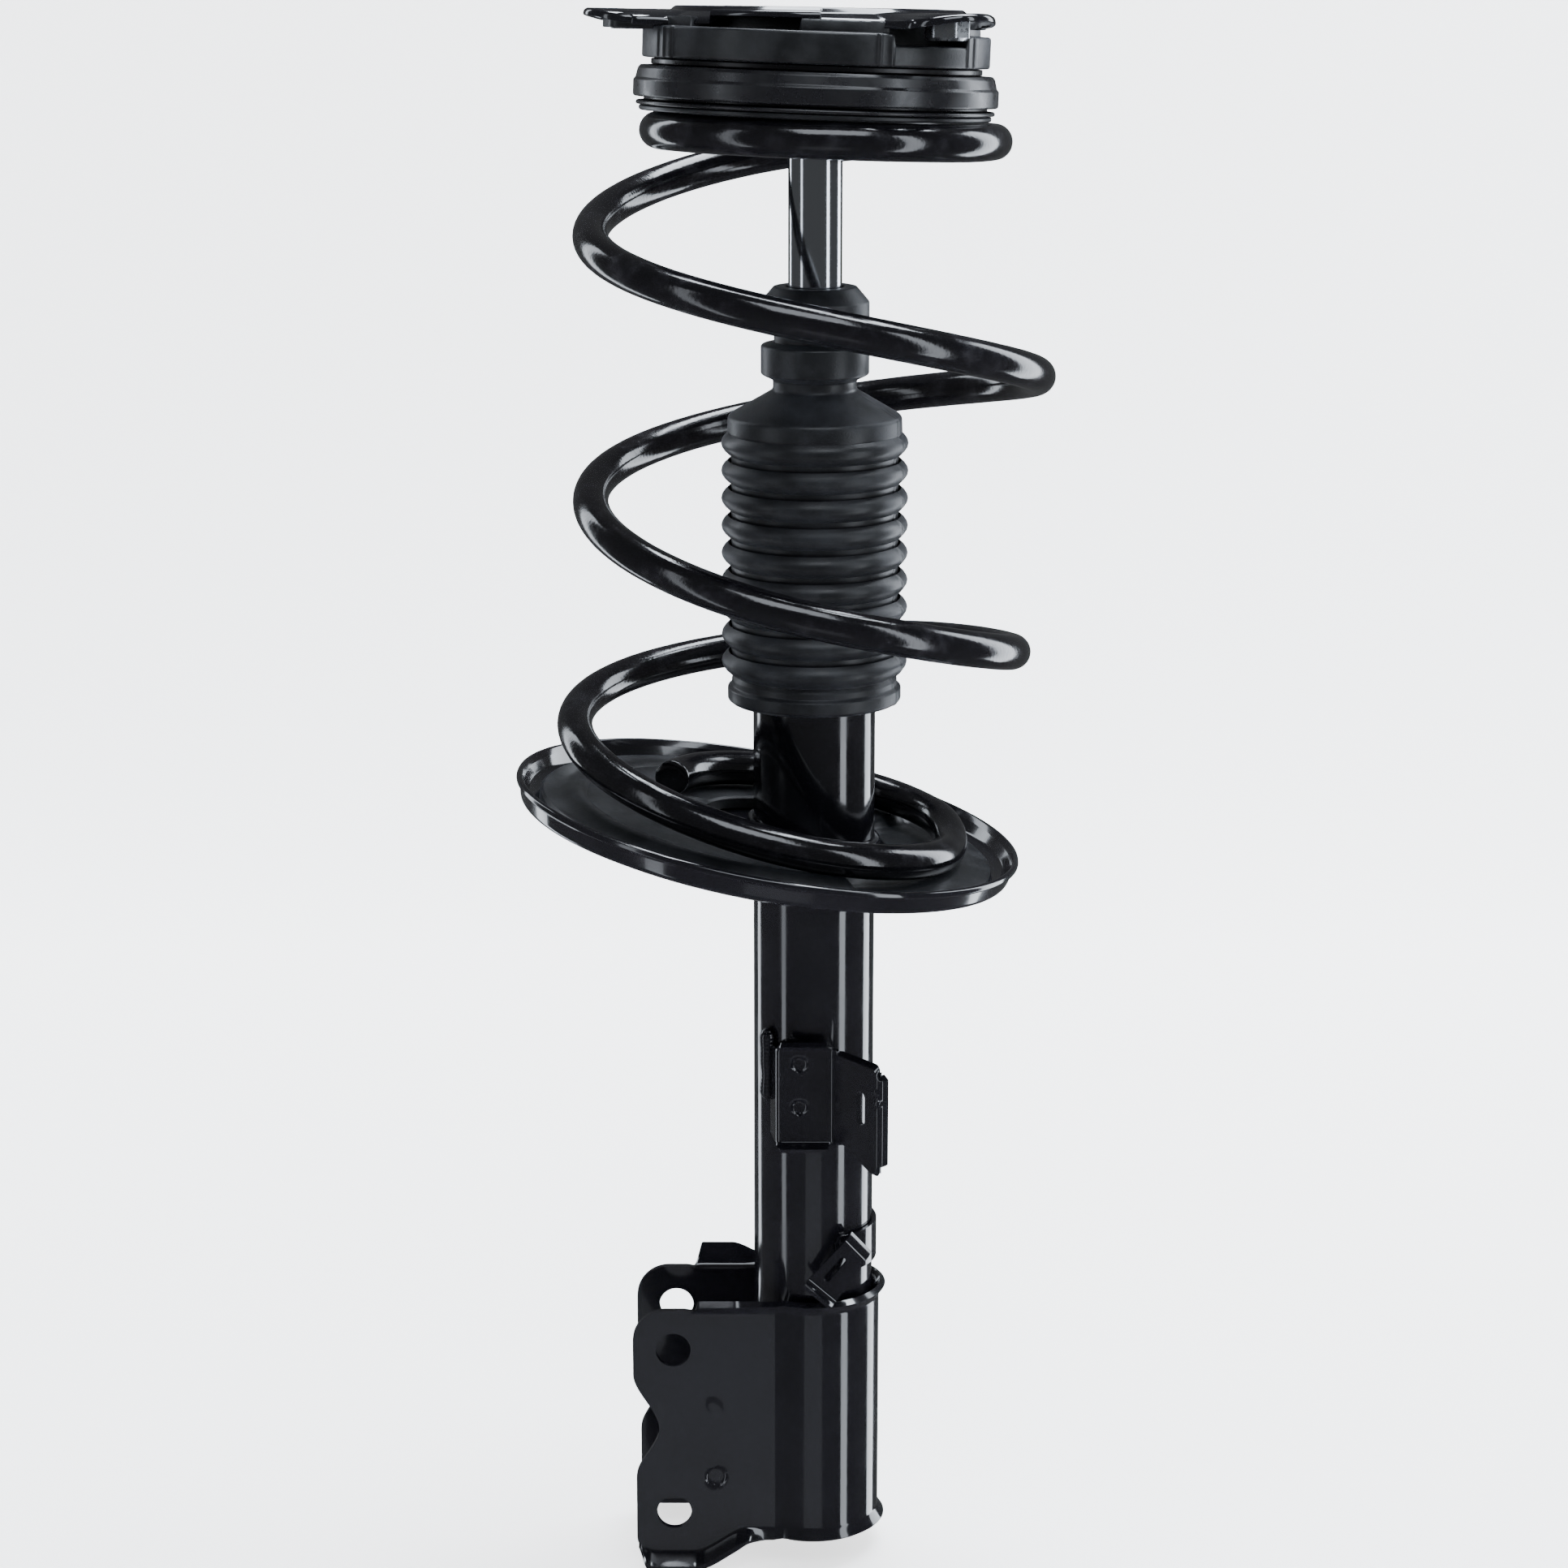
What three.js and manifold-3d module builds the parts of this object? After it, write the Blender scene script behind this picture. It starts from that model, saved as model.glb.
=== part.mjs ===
// Front suspension strut assembly: top mount with bearing, coil spring, damper, lower spring seat
// and the clamp bracket that bolts to the wheel knuckle.
// Millimetres, +Z up along the damper axis. The origin is the middle of the top mount's upper face.
// +X points away from the knuckle, -Y towards the side that carries the hose bracket.
import * as THREE from 'three';
import { mergeVertices } from 'three/addons/utils/BufferGeometryUtils.js';
import Module from 'manifold-3d';

const wasm = await Module();
wasm.setup();

// ---------------------------------------------------------------- driving dimensions
const GAP = 0.3;                 // clearance between pieces that touch

// damper
const ROD_RADIUS = 11;
const THREAD_RADIUS = 7;
const ROD_TOP = -12;
const ROD_SHOULDER = -36.3;
const TUBE_RADIUS = 25.5;
const TUBE_WALL = 2;
const TUBE_TOP = -165;
const TUBE_LENGTH = 481;
const TUBE_ROLL = 3;             // thickness of the rolled-in top lip
const SEAL_HEIGHT = 6;
const GUIDE_HEIGHT = 16;
const GUIDE_SPIGOT = 5;
const INNER_RADIUS = 18;
const INNER_WALL = 2;
const REBOUND_HEIGHT = 10;
const PISTON_HEIGHT = 18;
const PISTON_NUT_HEIGHT = 9;
const PISTON_NUT_RADIUS = 10;
const SPIGOT_RADIUS = 6;
const BASE_VALVE_HEIGHT = 14;
const CAP_THICKNESS = 4;

// top mount, in its own tilted frame
const MOUNT_TILT_SIDE = 2.1;     // degrees, +X side low
const MOUNT_TILT_FRONT = -2.3;   // degrees, -Y side high
const PLATE_TILT_BACK = -1.1;    // degrees the plate is turned back towards level
const PLATE_RADIUS = 66;
const PLATE_STEP_RADIUS = 58;
const PLATE_STEP = 1.5;
const PLATE_THICKNESS = 4;
const PLATE_BORE = 26;
const EAR_ANGLES = [-50, 70, 190];
const EAR_CIRCLE = 76;           // radius of the bolt circle
const EAR_RADIUS = 18.5;
const EAR_SHEET = 2.4;
const EAR_SKIRT = 1.2;
const NUT_RADIUS = 8.6;
const NUT_HEIGHT = 7.6;
const NUT_BORE = 4.3;
const SHORT_NUT_HEIGHT = 5.2;
const INSULATOR_RADIUS = 69.2;
const INSULATOR_BORE = 27;
const INSULATOR_BOTTOM = -21.6;
const TAB_WIDTH = 30;
const TAB_REACH = 86;
const TAB_BOTTOM = -10.6;
const SUPPORT_RADIUS = 66.6;
const SUPPORT_BORE = 31;
const SUPPORT_HEIGHT = 2.3;
const CASE_RADIUS = 73.3;
const CASE_RIM_RADIUS = 71.4;
const CASE_BORE = 30;
const CASE_RIM = 5;              // height of the sloping rim
const CASE_WALL = 7.4;           // height of the plain outer wall
const CASE_SKIRT = 3.4;          // thickness of the outer wall
const CASE_TOP_THICKNESS = 3.7;
const BALL_CIRCLE = 56;
const BALL_RADIUS = 2;
const BALL_COUNT = 12;
const CAGE_HALF_WIDTH = 3;
const LIP_RADIUS = 72.2;
const LIP_THICKNESS = 1.7;
const UPPER_SEAT_RADIUS = 63;
const UPPER_SEAT_SHEET = 1.8;
const HUB_RADIUS = 30;
const HUB_THICKNESS = 3;
const ISOLATOR_RADIUS = 71;
const ISOLATOR_THICKNESS = 2;
const ISOLATOR_SKIRT_ROOM = 1.25; // between the skirt and the inside of the first coil
const ISOLATOR_SKIRT = 3.4;
const ISOLATOR_SKIRT_HEIGHT = 13;
const WASHER_RADIUS = 15;
const WASHER_THICKNESS = 3;
const ROD_NUT_RADIUS = 12.7;
const ROD_NUT_HEIGHT = 11;

// coil spring: a row for about each quarter turn, as turn angle (degrees), distance from the damper
// axis and height. The rows without a height lie on the upper isolator and on the lower pad.
const WIRE_RADIUS = 7.35;
const COIL_TOP_ROWS = [[120, 63], [180, 63.5], [270, 67], [360, 72]];
const COIL_PAD_ROWS = [[1470, 58.2], [1540, 60], [1608, 61.5]];
const COIL_ROWS = [
  [450, 86, -61], [540, 90.8, -88.5], [630, 91, -115.5], [720, 90.9, -147.7],
  [810, 91, -172.5], [900, 92.3, -197.5], [990, 87.5, -231.6], [1080, 82.6, -262],
  [1170, 89, -276], [1260, 100.2, -292.5], [1350, 76.5, -336.35 + WIRE_RADIUS],
  [1420, 58.5, -350.55 + WIRE_RADIUS],
];
const COIL_STEPS = 84;
const WIRE_SIDES = 8;

// lower spring seat and its rubber pad, in the seat's tilted frame
const SEAT_X = -19;
const SEAT_Z = -331;
const SEAT_TILT_SIDE = 10.2;     // degrees, +X side low
const SEAT_RADIUS = 107;
const SEAT_SHEET = 2.5;
const SEAT_DEPTH = 9.9;
const SEAT_FLOOR_RADIUS = 97.8;
const SEAT_COLLAR_UP = 10;
const SEAT_COLLAR_DOWN = 9;
const SEAT_COLLAR_WALL = 2.6;
const PAD_THICKNESS = 5.7;
const PAD_STEP = 3;              // how much lower the pad lies where the coil comes down to it
const PAD_STEP_FROM = -66;
const PAD_STEP_TO = 40;
const PAD_RADIUS = 96.5;
const PAD_BORE_ROOM = 11.6;      // how much wider the pad's hole is than the seat's collar
const PAD_BORE_X = 12;           // offset of the pad's hole from the seat's middle

// boot and bump stop
const BOOT_TOP = -110.5;
const BOOT_COLLAR_RADIUS = 22.4;
const BOOT_COLLAR_TOP_RADIUS = 17;
const BOOT_COLLAR_CHAMFER = 6;
const BOOT_COLLAR_HEIGHT = 38;
const BOOT_NECK_RADIUS = 17.2;
const BOOT_NECK_HEIGHT = 4;
const BOOT_CONE_HEIGHT = 11;
const BOOT_TUBE_ROOM = 4.1;      // between the tube and the boot's mouth
const BOOT_BEAD = 2.7;           // how far the beads stand out from the shoulder
const BOOT_BODY_TOP = -173;
const BOOT_BOTTOM = -282.6;
const BOOT_WALL = 6.4;
const BOOT_ROD_GAP = 0.8;
const STOP_RADIUS = 16.4;
const STOP_WALL = 2.2;

// knuckle bracket
const BRACKET_SHEET = 2.8;
const EAR_STEP = 1.5;            // how far the outside of an ear stands beyond the tube's
const EAR_FOLD = -16.5;          // where an ear bends into the wrap
const EAR_PLATE = 3;
const EAR_END = -77.7;
const BRACKET_TOP = -547;
const BRACKET_BOTTOM = -646;
const EAR_PLAIN_TOP = -545.3;
const BOLT_RADIUS = 7.5;
const BOLT_X = -60.3;
const UPPER_BOLT_Z = -563.4;
const LOWER_BOLT_Z = -639;
const WRAP_END = 116;            // degrees that the wrap reaches each way from +X
const FLANGE_OUT = 9;
const FLANGE_RISE = 6.8;
const LIP_OUT = 2.6;
const LIP_RISE = 4.6;

// hose bracket
const HOSE_LEFT = -15.4;
const HOSE_RIGHT = 7.3;
const HOSE_TOP = -425.4;
const HOSE_HEIGHT = 44;
const HOSE_STANDOFF = 4.5;       // from the tube to the bracket's face
const HOSE_SHEET = 2.4;
const WING_LENGTH = 31;
const WING_ANGLE = -51;
const WING_RIM = 3;
const SLOT_HALF = 4.5;
const SLOT_RADIUS = 3.4;
const SLOT_PLACE = 19;           // distance of the slot from the bend

// sensor wire bracket
const STRAP_TOP = -512;
const STRAP_HEIGHT = 17;
const STRAP_SHEET = 1.6;
const STRAP_FROM = -68;
const STRAP_TO = 38;
const SENSOR_STANDOFF = 6;       // from the tube to the tab's face
const SENSOR_SHEET = 1.8;
const SENSOR_LIP = 5;

const ROUND = 32;                // sides of a large turned piece
const SMALL_ROUND = 16;          // sides of a small one

// ---------------------------------------------------------------- materials
const finish = (color, roughness, metalness) =>
  new THREE.MeshStandardMaterial({ color, roughness, metalness });
const blackPaint = () => finish(0x0c0c0e, 0.18, 0.0);
const chrome = () => finish(0xc9ccd1, 0.08, 1.0);
const steel = () => finish(0x8f9296, 0.35, 1.0);
const zinc = () => finish(0xb9bfc6, 0.3, 1.0);
const rubber = () => finish(0x1a1b1d, 0.6, 0.0);
const plastic = () => finish(0x121315, 0.4, 0.0);

// ---------------------------------------------------------------- geometry helpers
const radians = THREE.MathUtils.degToRad;

// A closed mesh becomes a solid once its shared corners are merged and its flat faces are dropped.
function solid(geometry) {
  const bare = geometry.clone();
  bare.deleteAttribute('normal');
  bare.deleteAttribute('uv');
  const merged = mergeVertices(bare, 1e-4);
  const corners = merged.index.array;
  const faces = [];
  for (let i = 0; i < corners.length; i += 3) {
    const [a, b, c] = [corners[i], corners[i + 1], corners[i + 2]];
    if (a !== b && b !== c && c !== a) faces.push(a, b, c);
  }
  return new wasm.Manifold(new wasm.Mesh({
    numProp: 3,
    vertProperties: new Float32Array(merged.attributes.position.array),
    triVerts: new Uint32Array(faces),
  }));
}

function geometryOf(body) {
  const mesh = body.getMesh();
  const geometry = new THREE.BufferGeometry();
  geometry.setAttribute('position', new THREE.BufferAttribute(mesh.vertProperties, 3));
  geometry.setIndex(new THREE.BufferAttribute(mesh.triVerts, 1));
  geometry.computeVertexNormals();
  return geometry;
}

// Twice the area of an outline, positive when it runs anticlockwise.
function turning(points) {
  return points.reduce((sum, [x, y], i) => {
    const [nextX, nextY] = points[(i + 1) % points.length];
    return sum + x * nextY - nextX * y;
  }, 0);
}

// Turns a closed outline of (radius, height) points round the Z axis.
function turned(outline, sides = ROUND) {
  const points = turning(outline) > 0 ? outline : [...outline].reverse();
  const closed = [...points, points[0]].map(([r, z]) => new THREE.Vector2(r, z));
  const geometry = new THREE.LatheGeometry(closed, sides);
  geometry.rotateX(Math.PI / 2);
  return solid(geometry);
}

// A plain ring or disc between two radii and two heights.
function ring(inner, outer, low, high, sides = ROUND) {
  return turned([[inner, low], [outer, low], [outer, high], [inner, high]], sides);
}

// An outline in XY raised along +Z from a height.
function raised(shape, low, height, curveSegments = 8) {
  const settings = { depth: height, bevelEnabled: false, curveSegments };
  const geometry = new THREE.ExtrudeGeometry(shape, settings);
  geometry.translate(0, 0, low);
  return geometry;
}

// An outline drawn in XZ and given a thickness along Y, from yFrom towards -Y.
function upright(shape, yFrom, thickness, curveSegments = 8) {
  const settings = { depth: thickness, bevelEnabled: false, curveSegments };
  const geometry = new THREE.ExtrudeGeometry(shape, settings);
  geometry.rotateX(Math.PI / 2);
  geometry.translate(0, yFrom, 0);
  return geometry;
}

const shapeOf = (points) => new THREE.Shape(points.map(([x, y]) => new THREE.Vector2(x, y)));

// Joins a row of four-cornered rings into one closed body with flat ends.
function loft(rings) {
  const sides = rings[0].length;
  const positions = rings.flat(2);
  const faces = [];
  for (let i = 0; i + 1 < rings.length; i += 1) {
    for (let j = 0; j < sides; j += 1) {
      const [a, b] = [i * sides + j, i * sides + (j + 1) % sides];
      faces.push(a, b, b + sides, a, b + sides, a + sides);
    }
  }
  const last = (rings.length - 1) * sides;
  for (let j = 1; j + 1 < sides; j += 1) {
    faces.push(0, j + 1, j);
    faces.push(last, last + j, last + j + 1);
  }
  const geometry = new THREE.BufferGeometry();
  geometry.setAttribute('position', new THREE.Float32BufferAttribute(positions, 3));
  geometry.setIndex(faces);
  const body = solid(geometry);
  if (body.volume() > 0) return body;
  body.delete();
  return loft(rings.map((row) => [...row].reverse()));
}

// A bar of any section carried round the Z axis between two angles.
function arcBar(section, from, to, steps) {
  const rings = [];
  for (let i = 0; i <= steps; i += 1) {
    const angle = radians(from + (to - from) * i / steps);
    rings.push(section.map(([r, z]) => [r * Math.cos(angle), r * Math.sin(angle), z]));
  }
  return loft(rings);
}

// A bar of three-dimensional section points that is carried along a straight or bent row of places.
function bar(places, section) {
  return loft(places.map(([x, z]) => section.map(([y, dz]) => [x, y, z + dz])));
}

// A round hole through something, along Y.
function crossHole(x, z, radius, reach) {
  const geometry = new THREE.CylinderGeometry(radius, radius, reach * 2, SMALL_ROUND);
  geometry.translate(x, 0, z);
  return solid(geometry);
}

const root = new THREE.Group();
const mountFrame = new THREE.Group();
mountFrame.rotation.set(radians(MOUNT_TILT_FRONT), radians(MOUNT_TILT_SIDE), 0);
const pivot = new THREE.Vector3(0, 0, ROD_SHOULDER);
mountFrame.position.copy(pivot).sub(pivot.clone().applyEuler(mountFrame.rotation));
root.add(mountFrame);
const plateFrame = new THREE.Group();
plateFrame.rotation.y = radians(PLATE_TILT_BACK);
mountFrame.add(plateFrame);
const seatFrame = new THREE.Group();
seatFrame.position.set(SEAT_X, 0, SEAT_Z);
seatFrame.rotation.y = radians(SEAT_TILT_SIDE);
root.add(seatFrame);
for (const frame of [mountFrame, plateFrame, seatFrame]) frame.updateMatrixWorld(true);

function place(frame, name, body, material) {
  const mesh = new THREE.Mesh(geometryOf(body), material);
  mesh.name = name;
  frame.add(mesh);
}

// Carries a body from one frame into another, for cuts between frames.
function carried(body, fromFrame, toFrame) {
  const matrix = new THREE.Matrix4();
  if (toFrame !== root) matrix.copy(toFrame.matrixWorld).invert();
  if (fromFrame !== root) matrix.multiply(fromFrame.matrixWorld);
  return body.transform(matrix.elements);
}

// ---------------------------------------------------------------- top mount
const plateUnderside = -PLATE_THICKNESS;
const supportTop = INSULATOR_BOTTOM - GAP;
const supportBottom = supportTop - SUPPORT_HEIGHT;
const caseTop = supportBottom - GAP;
const caseBottom = caseTop - CASE_RIM - CASE_WALL;
const raceTop = caseTop - CASE_TOP_THICKNESS;
const ballHeight = raceTop - GAP - BALL_RADIUS;
const lowerCaseTop = ballHeight - BALL_RADIUS - GAP;
const lipTop = caseBottom - 1.4;
const lipBottom = lipTop - LIP_THICKNESS;
const upperSeatTop = lipBottom + UPPER_SEAT_SHEET;
const isolatorTop = lipBottom - GAP;
const isolatorBottom = isolatorTop - ISOLATOR_THICKNESS;
const skirtOuter = COIL_TOP_ROWS[0][1] - WIRE_RADIUS - ISOLATOR_SKIRT_ROOM;

function earOutline(angle, radius) {
  // a tongue with a round end, pointing out along the given angle
  const turn = radians(angle);
  const shape = new THREE.Shape();
  const start = turn - Math.PI / 2;
  const base = PLATE_RADIUS * 0.75;
  const [cx, cy] = [EAR_CIRCLE * Math.cos(turn), EAR_CIRCLE * Math.sin(turn)];
  const foot = (side) => [
    base * Math.cos(turn) + side * radius * 1.25 * Math.sin(turn),
    base * Math.sin(turn) - side * radius * 1.25 * Math.cos(turn),
  ];
  shape.moveTo(...foot(1));
  shape.absarc(cx, cy, radius, start, start + Math.PI, false);
  shape.lineTo(...foot(-1));
  shape.closePath();
  return shape;
}

function buildMountPlate() {
  const top = PLATE_STEP;
  let plate = turned([
    [PLATE_BORE, plateUnderside], [PLATE_RADIUS, plateUnderside], [PLATE_RADIUS, -top],
    [PLATE_STEP_RADIUS, -top], [PLATE_STEP_RADIUS, 0], [PLATE_BORE, 0],
  ]);
  for (const angle of EAR_ANGLES) {
    const low = plateUnderside;
    const outline = earOutline(angle, EAR_RADIUS);
    const pocket = earOutline(angle, EAR_RADIUS - EAR_SHEET);
    const ear = solid(raised(outline, low - EAR_SKIRT, EAR_SHEET + EAR_SKIRT))
      .subtract(solid(raised(pocket, low - EAR_SKIRT - 1, EAR_SKIRT + 1)))
      .subtract(ring(0.5, PLATE_RADIUS + 0.5, low - EAR_SKIRT - 1, low).add(
        ring(0, 1, low - EAR_SKIRT - 1, low)));
    const turn = radians(angle);
    const boltHole = new THREE.CylinderGeometry(NUT_BORE, NUT_BORE, 30, SMALL_ROUND);
    boltHole.rotateX(Math.PI / 2);
    boltHole.translate(EAR_CIRCLE * Math.cos(turn), EAR_CIRCLE * Math.sin(turn), 0);
    plate = plate.add(ear).subtract(solid(boltHole));
  }
  return plate;
}

function buildWeldNut(angle, height) {
  const turn = radians(angle);
  const top = plateUnderside - GAP;
  const nut = ring(NUT_BORE, NUT_RADIUS, top - height, top, SMALL_ROUND);
  return nut.translate([EAR_CIRCLE * Math.cos(turn), EAR_CIRCLE * Math.sin(turn), 0]);
}

function buildInsulator() {
  let rubberRing = ring(INSULATOR_BORE, INSULATOR_RADIUS, INSULATOR_BOTTOM, 0);
  // a rubber tab lies along the ear that points away from the bracket side
  const tab = new THREE.Shape();
  const half = TAB_WIDTH / 2;
  tab.moveTo(PLATE_RADIUS * 0.8, -half);
  tab.lineTo(TAB_REACH - 4, -half);
  tab.quadraticCurveTo(TAB_REACH, -half, TAB_REACH, -half + 4);
  tab.lineTo(TAB_REACH, half - 4);
  tab.quadraticCurveTo(TAB_REACH, half, TAB_REACH - 4, half);
  tab.lineTo(PLATE_RADIUS * 0.8, half);
  tab.closePath();
  const tabBody = solid(raised(tab, TAB_BOTTOM, -TAB_BOTTOM)).rotate([0, 0, EAR_ANGLES[2]]);
  rubberRing = rubberRing.add(tabBody);
  // everything above the plate's underside, and room for the ears and their nuts
  const cutTop = carried(ring(0, 200, plateUnderside - GAP, 60), plateFrame, mountFrame);
  rubberRing = rubberRing.subtract(cutTop);
  EAR_ANGLES.forEach((angle, i) => {
    const skirtBottom = plateUnderside - EAR_SKIRT - GAP;
    const whole = earOutline(angle, EAR_RADIUS + GAP);
    const inside = earOutline(angle, EAR_RADIUS - EAR_SHEET - GAP);
    const earTop = plateUnderside - GAP;
    let room = solid(raised(whole, skirtBottom, 40));
    if (i === 2) room = room.subtract(solid(raised(inside, skirtBottom - 1, earTop - skirtBottom + 1)));
    const clear = ring(0, PLATE_RADIUS - 0.5, skirtBottom - 1, plateUnderside - GAP);
    room = room.subtract(clear);
    const nutRoom = ring(0, NUT_RADIUS + 1, earTop - NUT_HEIGHT - 1.5, 20, SMALL_ROUND)
      .translate([EAR_CIRCLE * Math.cos(radians(angle)), EAR_CIRCLE * Math.sin(radians(angle)), 0]);
    rubberRing = rubberRing
      .subtract(carried(room, plateFrame, mountFrame))
      .subtract(carried(nutRoom, plateFrame, mountFrame));
  });
  return rubberRing;
}

function buildUpperCase() {
  return turned([
    [CASE_BORE, raceTop], [CASE_BORE, caseTop], [CASE_RIM_RADIUS - 1.6, caseTop],
    [CASE_RIM_RADIUS, caseTop - 1.2], [CASE_RADIUS, caseTop - CASE_RIM],
    [CASE_RADIUS, caseBottom], [CASE_RADIUS - CASE_SKIRT, caseBottom],
    [CASE_RADIUS - CASE_SKIRT, raceTop - 2], [CASE_RADIUS - CASE_SKIRT - 2, raceTop],
  ]);
}

function buildBallCage() {
  const thin = BALL_RADIUS * 0.5;
  let cage = ring(BALL_CIRCLE - CAGE_HALF_WIDTH, BALL_CIRCLE + CAGE_HALF_WIDTH,
    ballHeight - thin, ballHeight + thin);
  for (let i = 0; i < BALL_COUNT; i += 1) {
    const angle = 2 * Math.PI * i / BALL_COUNT;
    const ball = new THREE.SphereGeometry(BALL_RADIUS, 6, 4);
    ball.translate(BALL_CIRCLE * Math.cos(angle), BALL_CIRCLE * Math.sin(angle), ballHeight);
    cage = cage.add(solid(ball));
  }
  return cage;
}

function buildLowerCase() {
  const wall = CASE_RADIUS - CASE_SKIRT - 1;
  return turned([
    [CASE_BORE + 2, lowerCaseTop], [wall, lowerCaseTop],
    [wall, lipTop], [LIP_RADIUS, lipTop], [LIP_RADIUS, lipBottom],
    [UPPER_SEAT_RADIUS + GAP, lipBottom], [UPPER_SEAT_RADIUS + GAP, upperSeatTop + GAP],
    [CASE_BORE + 2, upperSeatTop + GAP],
  ]);
}

const hubTop = ROD_SHOULDER + GAP + HUB_THICKNESS;

function buildUpperSeat() {
  const dish = turned([
    [HUB_RADIUS - 6, lipBottom], [UPPER_SEAT_RADIUS, lipBottom], [UPPER_SEAT_RADIUS, upperSeatTop],
    [CASE_BORE, upperSeatTop], [HUB_RADIUS - 2, upperSeatTop + 1], [HUB_RADIUS - 2, hubTop - 1],
    [HUB_RADIUS - 6, hubTop - 1],
  ]);
  const hub = ring(THREAD_RADIUS + 0.8, HUB_RADIUS - 4, ROD_SHOULDER + GAP, hubTop, SMALL_ROUND);
  return carried(dish, mountFrame, root)
    .subtract(ring(0, HUB_RADIUS - 5, -80, 0, SMALL_ROUND))
    .add(hub);
}

function buildIsolator() {
  const inner = skirtOuter - ISOLATOR_SKIRT;
  return turned([
    [inner, isolatorTop], [ISOLATOR_RADIUS, isolatorTop], [ISOLATOR_RADIUS, isolatorBottom],
    [skirtOuter, isolatorBottom],
    [skirtOuter - 1, isolatorBottom - ISOLATOR_SKIRT_HEIGHT],
    [inner, isolatorBottom - ISOLATOR_SKIRT_HEIGHT],
  ]);
}

place(plateFrame, 'mount_plate', buildMountPlate(), blackPaint());
EAR_ANGLES.forEach((angle, i) => {
  const height = i === 2 ? SHORT_NUT_HEIGHT : NUT_HEIGHT;
  place(plateFrame, `weld_nut_${i + 1}`, buildWeldNut(angle, height), zinc());
});
place(mountFrame, 'mount_insulator', buildInsulator(), rubber());
place(mountFrame, 'insulator_support_ring',
  ring(SUPPORT_BORE, SUPPORT_RADIUS, supportBottom, supportTop), plastic());
place(mountFrame, 'bearing_upper_case', buildUpperCase(), plastic());
place(mountFrame, 'bearing_ball_cage', buildBallCage(), steel());
place(mountFrame, 'bearing_lower_case', buildLowerCase(), plastic());
place(root, 'upper_spring_seat', buildUpperSeat(), blackPaint());
place(mountFrame, 'upper_spring_isolator', buildIsolator(), rubber());

// ---------------------------------------------------------------- rod, piston and their fixings
const guideTop = TUBE_TOP - TUBE_ROLL - GAP - SEAL_HEIGHT - GAP;
const guideBottom = guideTop - GUIDE_HEIGHT - GUIDE_SPIGOT;
const reboundTop = guideBottom - GAP;
const reboundBottom = reboundTop - REBOUND_HEIGHT;
const pistonTop = reboundBottom - 3;
const pistonBottom = pistonTop - PISTON_HEIGHT;
const rodBottom = pistonBottom - GAP - PISTON_NUT_HEIGHT - 2;
const innerBore = INNER_RADIUS - INNER_WALL;

place(root, 'piston_rod', turned([
  [0, rodBottom], [SPIGOT_RADIUS, rodBottom], [SPIGOT_RADIUS, pistonTop + GAP],
  [ROD_RADIUS, pistonTop + GAP], [ROD_RADIUS, ROD_SHOULDER - 1], [ROD_RADIUS - 1, ROD_SHOULDER],
  [THREAD_RADIUS, ROD_SHOULDER], [THREAD_RADIUS, ROD_TOP - 1], [THREAD_RADIUS - 1, ROD_TOP], [0, ROD_TOP],
], SMALL_ROUND), chrome());
place(root, 'rod_washer', ring(THREAD_RADIUS + GAP, WASHER_RADIUS,
  hubTop + GAP, hubTop + GAP + WASHER_THICKNESS, SMALL_ROUND), steel());
const nutLow = hubTop + 2 * GAP + WASHER_THICKNESS;
place(root, 'rod_nut', ring(0, ROD_NUT_RADIUS, nutLow, nutLow + ROD_NUT_HEIGHT, 6)
  .subtract(ring(0, THREAD_RADIUS + GAP, nutLow - 1, nutLow + ROD_NUT_HEIGHT + 1, SMALL_ROUND)), zinc());
place(root, 'rebound_stop', ring(ROD_RADIUS + GAP, innerBore - 1,
  reboundBottom, reboundTop, SMALL_ROUND), rubber());
place(root, 'piston', ring(SPIGOT_RADIUS + GAP, innerBore - GAP,
  pistonBottom, pistonTop, SMALL_ROUND), steel());
place(root, 'piston_nut', ring(SPIGOT_RADIUS + GAP, PISTON_NUT_RADIUS,
  pistonBottom - GAP - PISTON_NUT_HEIGHT, pistonBottom - GAP, SMALL_ROUND), steel());

// ---------------------------------------------------------------- damper tube and its inside
const tubeBottom = TUBE_TOP - TUBE_LENGTH;
const tubeBore = TUBE_RADIUS - TUBE_WALL;
const capTop = tubeBottom + CAP_THICKNESS + 3;
const valveTop = capTop + GAP + BASE_VALVE_HEIGHT;

place(root, 'outer_tube', turned([
  [tubeBore, tubeBottom], [TUBE_RADIUS, tubeBottom], [TUBE_RADIUS, TUBE_TOP - 3],
  [TUBE_RADIUS - 2.5, TUBE_TOP], [ROD_RADIUS + 5, TUBE_TOP], [ROD_RADIUS + 5, TUBE_TOP - TUBE_ROLL],
  [tubeBore, TUBE_TOP - TUBE_ROLL],
]), blackPaint());
place(root, 'rod_seal', ring(ROD_RADIUS + GAP, tubeBore - GAP,
  guideTop + GAP, guideTop + GAP + SEAL_HEIGHT), rubber());
place(root, 'rod_guide', turned([
  [ROD_RADIUS + GAP, guideBottom], [innerBore - GAP, guideBottom],
  [innerBore - GAP, guideTop - GUIDE_HEIGHT], [tubeBore - GAP, guideTop - GUIDE_HEIGHT],
  [tubeBore - GAP, guideTop], [ROD_RADIUS + GAP, guideTop],
], SMALL_ROUND), steel());
place(root, 'inner_tube', ring(innerBore, INNER_RADIUS,
  capTop + GAP, guideTop - GUIDE_HEIGHT - GAP, SMALL_ROUND), steel());
place(root, 'base_valve', ring(3, innerBore - GAP, capTop + GAP, valveTop, SMALL_ROUND), steel());
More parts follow.
